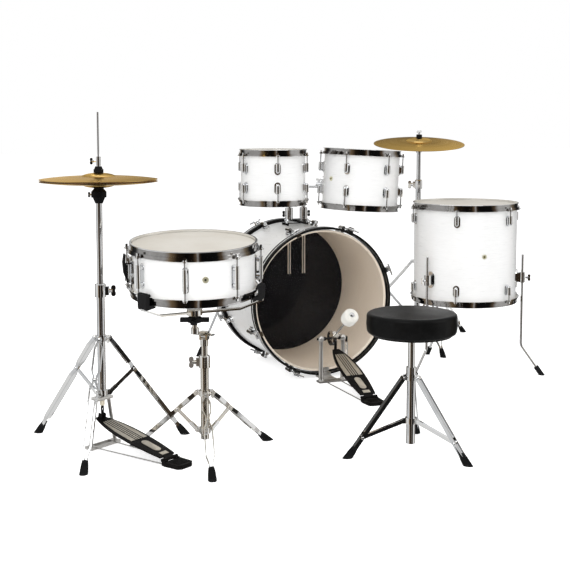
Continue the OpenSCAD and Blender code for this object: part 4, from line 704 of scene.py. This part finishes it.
def make_cushion():
    """The padded seat: drum-tight vinyl over foam, pulled in at the seam below the
    shoulder, with faint puckers, flat underneath."""
    r, low, top = SEAT_R, SEAT_LOW, SEAT_LOW + SEAT_THICK
    profile = [(0, low), (r - 0.020, low)]
    profile += arc(r - 0.014, low + 0.012, 0.012, -90, -8, 5)
    profile += [(r - 0.0006, low + 0.022), (r, low + 0.033), (r - 0.0012, low + 0.044)]
    profile += arc(r - 0.0135, top - 0.0105, 0.0125, 8, 82, 6)
    profile += [(r * k, top + CROWN * (1 - k * k) ** 0.8) for k in (0.84, 0.74, 0.6, 0.45, 0.3, 0.15)]
    profile += [(0, top + CROWN)]
    cushion = lathe("stool_cushion", profile, STOOL, 144)
    for v in cushion.data.vertices:
        away = Vector((v.co.x - STOOL.x, v.co.y - STOOL.y, 0))
        if away.length < PUCKER_W:
            continue
        turn = math.atan2(away.y, away.x)
        side = max(0.0, 1 - abs(away.length - r) / PUCKER_W)
        pucker = noise.noise(Vector((math.cos(turn) * 9, math.sin(turn) * 9, v.co.z * 30)))
        sag = noise.noise(Vector((v.co.x * 14, v.co.y * 14, 3)))
        v.co += away.normalized() * (PUCKER * pucker * side)
        if v.co.z > low + 0.01:
            v.co.z += SAG * sag
    smooth = cushion.modifiers.new("smooth", "SUBSURF")
    smooth.levels = smooth.render_levels = 1
    cushion.data.materials.append(vinyl_material())
    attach(cushion, "stool_seat")
    return cushion


def make_seat_plate():
    """The board under the cushion and the clamp socket that the post goes into."""
    low = SEAT_LOW
    board = lathe("stool_board", [(0, low - 0.005), (SEAT_R - 0.017, low - 0.005),
                                  (BOARD_R, low - 0.0035), (BOARD_R, low - 0.0002),
                                  (0, low - 0.0002)], STOOL)
    board.data.materials.append(SATIN)
    socket = lathe("stool_socket", [(SOCKET_IN, low - 0.024), (0.0190, low - 0.024),
                                    (SOCKET_R, low - 0.023), (SOCKET_R, low - 0.0052),
                                    (SOCKET_IN, low - 0.0052), (SOCKET_IN, low - 0.024)], STOOL, 64)
    socket.data.materials.append(CHROME)
    for piece, slot in ((board, "black_metal"), (socket, "chrome")):
        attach(piece, "stool_seat")


cushion = make_cushion()
make_seat_plate()
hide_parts("stool_seat")


# ------------------------------------------------------- floor, light, camera

CAMERA_AT = (-1.715, -3.761, 1.000)
CAMERA_DOWN = math.radians(5.5)
CAMERA_LENS, CAMERA_SHIFT = 68.59, -0.1025
FLOOR_GLOW = 0.60       # lifts the floor to white where the camera sees it
ROOM_LIGHT = 0.60       # soft light from all round
# Brightness round the room in reflections, by turn from -X through -Y, +X and +Y
PANELS = ((0.0, 0.70), (0.055, 0.62), (0.085, (0.30, 0.21, 0.12)), (0.12, (0.030, 0.020, 0.012)),
          (0.17, 0.006), (0.20, (0.02, 0.013, 0.008)), (0.216, (0.22, 0.15, 0.09)), (0.223, 0.62),
          (0.230, (0.08, 0.05, 0.03)), (0.24, 0.006), (0.32, 0.010), (0.345, (0.16, 0.11, 0.07)),
          (0.37, 0.75), (0.46, 0.85), (0.50, (0.30, 0.24, 0.17)), (0.54, 0.02), (0.59, 0.03),
          (0.63, 0.80), (0.65, 0.60), (0.665, 0.15), (0.70, 0.15), (0.715, 0.60), (0.73, 0.90),
          (0.77, (0.24, 0.19, 0.13)), (0.81, 0.02), (0.85, 0.05), (0.88, 0.60), (1.0, 0.70))


def make_floor():
    """Pale floor. Mirrors look through it to the room's own lower half."""
    bpy.ops.mesh.primitive_plane_add(size=60, location=(0, 0, 0))
    floor = bpy.context.object
    floor.name = "floor"
    mat, tree, shader = new_material("floor_pale", (0.93, 0.93, 0.93), roughness=0.9,
                                     specular_ior_level=0.0)
    fleck = noise_at(tree, place(tree), 30, 3)
    paint(tree, shader, ramp(tree, fleck, (0.3, 0.925), (0.7, 0.94)))
    path = node(tree, "ShaderNodeLightPath")
    shader.inputs["Emission Color"].default_value = (1, 1, 1, 1)
    tree.links.new(calc(tree, "MULTIPLY", path.outputs["Is Camera Ray"], FLOOR_GLOW),
                   shader.inputs["Emission Strength"])
    clear = node(tree, "ShaderNodeBsdfTransparent")
    mix = node(tree, "ShaderNodeMixShader")
    tree.links.new(path.outputs["Is Glossy Ray"], mix.inputs[0])
    tree.links.new(shader.outputs[0], mix.inputs[1])
    tree.links.new(clear.outputs[0], mix.inputs[2])
    tree.links.new(mix.outputs[0], tree.nodes["Material Output"].inputs["Surface"])
    floor.data.materials.append(mat)


def background(tree, colour, strength=1.0):
    made = node(tree, "ShaderNodeBackground", in_1=strength)
    if isinstance(colour, tuple):
        made.inputs[0].default_value = (*colour, 1)
    else:
        tree.links.new(colour, made.inputs[0])
    return made.outputs[0]


def make_world():
    world = bpy.data.worlds.new("studio")
    bpy.context.scene.world = world
    world.use_nodes = True
    tree = world.node_tree
    tree.nodes.clear()
    out = node(tree, "ShaderNodeOutputWorld")
    coord = node(tree, "ShaderNodeTexCoord")
    parts = node(tree, "ShaderNodeSeparateXYZ")
    tree.links.new(coord.outputs["Generated"], parts.inputs[0])
    turn = calc(tree, "ARCTAN2", parts.outputs["Y"], parts.outputs["X"])
    walls = ramp(tree, calc(tree, "MULTIPLY_ADD", turn, 0.5 / math.pi, 0.5), *PANELS)
    height = calc(tree, "MULTIPLY_ADD", parts.outputs["Z"], 0.5, 0.5)
    wall_share = ramp(tree, height, (0.22, 0.0), (0.32, 1.0), (0.66, 1.0), (0.78, 0.0))
    caps = ramp(tree, height, (0.0, 0.55), (0.30, 0.60), (0.50, 0.5), (0.70, 0.80), (0.88, 0.70),
                (1.0, 0.42))
    caps = blend_colour(tree, 0.6, caps, ramp(tree, walls, (0.0, 0.35), (0.6, 1.0)), "MULTIPLY")
    mirror = blend_colour(tree, wall_share, caps, walls)
    path = node(tree, "ShaderNodeLightPath")
    shiny = node(tree, "ShaderNodeMixShader")
    tree.links.new(path.outputs["Is Glossy Ray"], shiny.inputs[0])
    tree.links.new(background(tree, (1.0, 1.0, 1.0), ROOM_LIGHT), shiny.inputs[1])
    tree.links.new(background(tree, mirror), shiny.inputs[2])
    seen = node(tree, "ShaderNodeMixShader")
    tree.links.new(path.outputs["Is Camera Ray"], seen.inputs[0])
    tree.links.new(shiny.outputs[0], seen.inputs[1])
    tree.links.new(background(tree, (1.0, 1.0, 1.0)), seen.inputs[2])
    tree.links.new(seen.outputs[0], out.inputs[0])


def area_light(name, at, target, size, power, mirrored=True):
    """A soft panel; where it isn't mirrored, metal doesn't show it."""
    data = bpy.data.lights.new(name, "AREA")
    data.shape = "RECTANGLE"
    data.size, data.size_y = size
    data.energy = power
    lamp = bpy.data.objects.new(name, data)
    lamp.location = at
    lamp.visible_glossy = mirrored
    lamp.rotation_euler = (Vector(target) - Vector(at)).to_track_quat("-Z", "Y").to_euler()
    bpy.context.scene.collection.objects.link(lamp)


def make_camera():
    data = bpy.data.cameras.new("camera")
    data.sensor_width = 36
    data.lens = CAMERA_LENS
    data.shift_y = CAMERA_SHIFT
    data.clip_end = 100
    camera = bpy.data.objects.new("camera", data)
    camera.location = CAMERA_AT
    ahead = Vector((math.sin(-HEADING), math.cos(-HEADING), -math.tan(CAMERA_DOWN)))
    camera.rotation_euler = ahead.to_track_quat("-Z", "Y").to_euler()
    bpy.context.scene.collection.objects.link(camera)
    bpy.context.scene.camera = camera


bpy.context.scene.view_settings.view_transform = "Standard"
make_floor()
make_world()
area_light("key", (-3.2, -3.4, 3.6), (0.0, 0.0, 0.3), (2.6, 2.0), 55)
area_light("fill", (3.0, -3.0, 2.4), (0.0, 0.0, 0.4), (2.4, 2.4), 25)
area_light("rim", (0.5, 3.8, 3.0), (0.0, 0.0, 0.5), (3.0, 1.2), 35, mirrored=False)
area_light("front", (-2.4, -4.2, 1.5), (0.2, 0.3, 0.35), (2.2, 1.6), 60, mirrored=False)
area_light("top", (-0.2, -0.4, 4.2), (-0.2, -0.4, 0.0), (3.5, 3.0), 35)
make_camera()
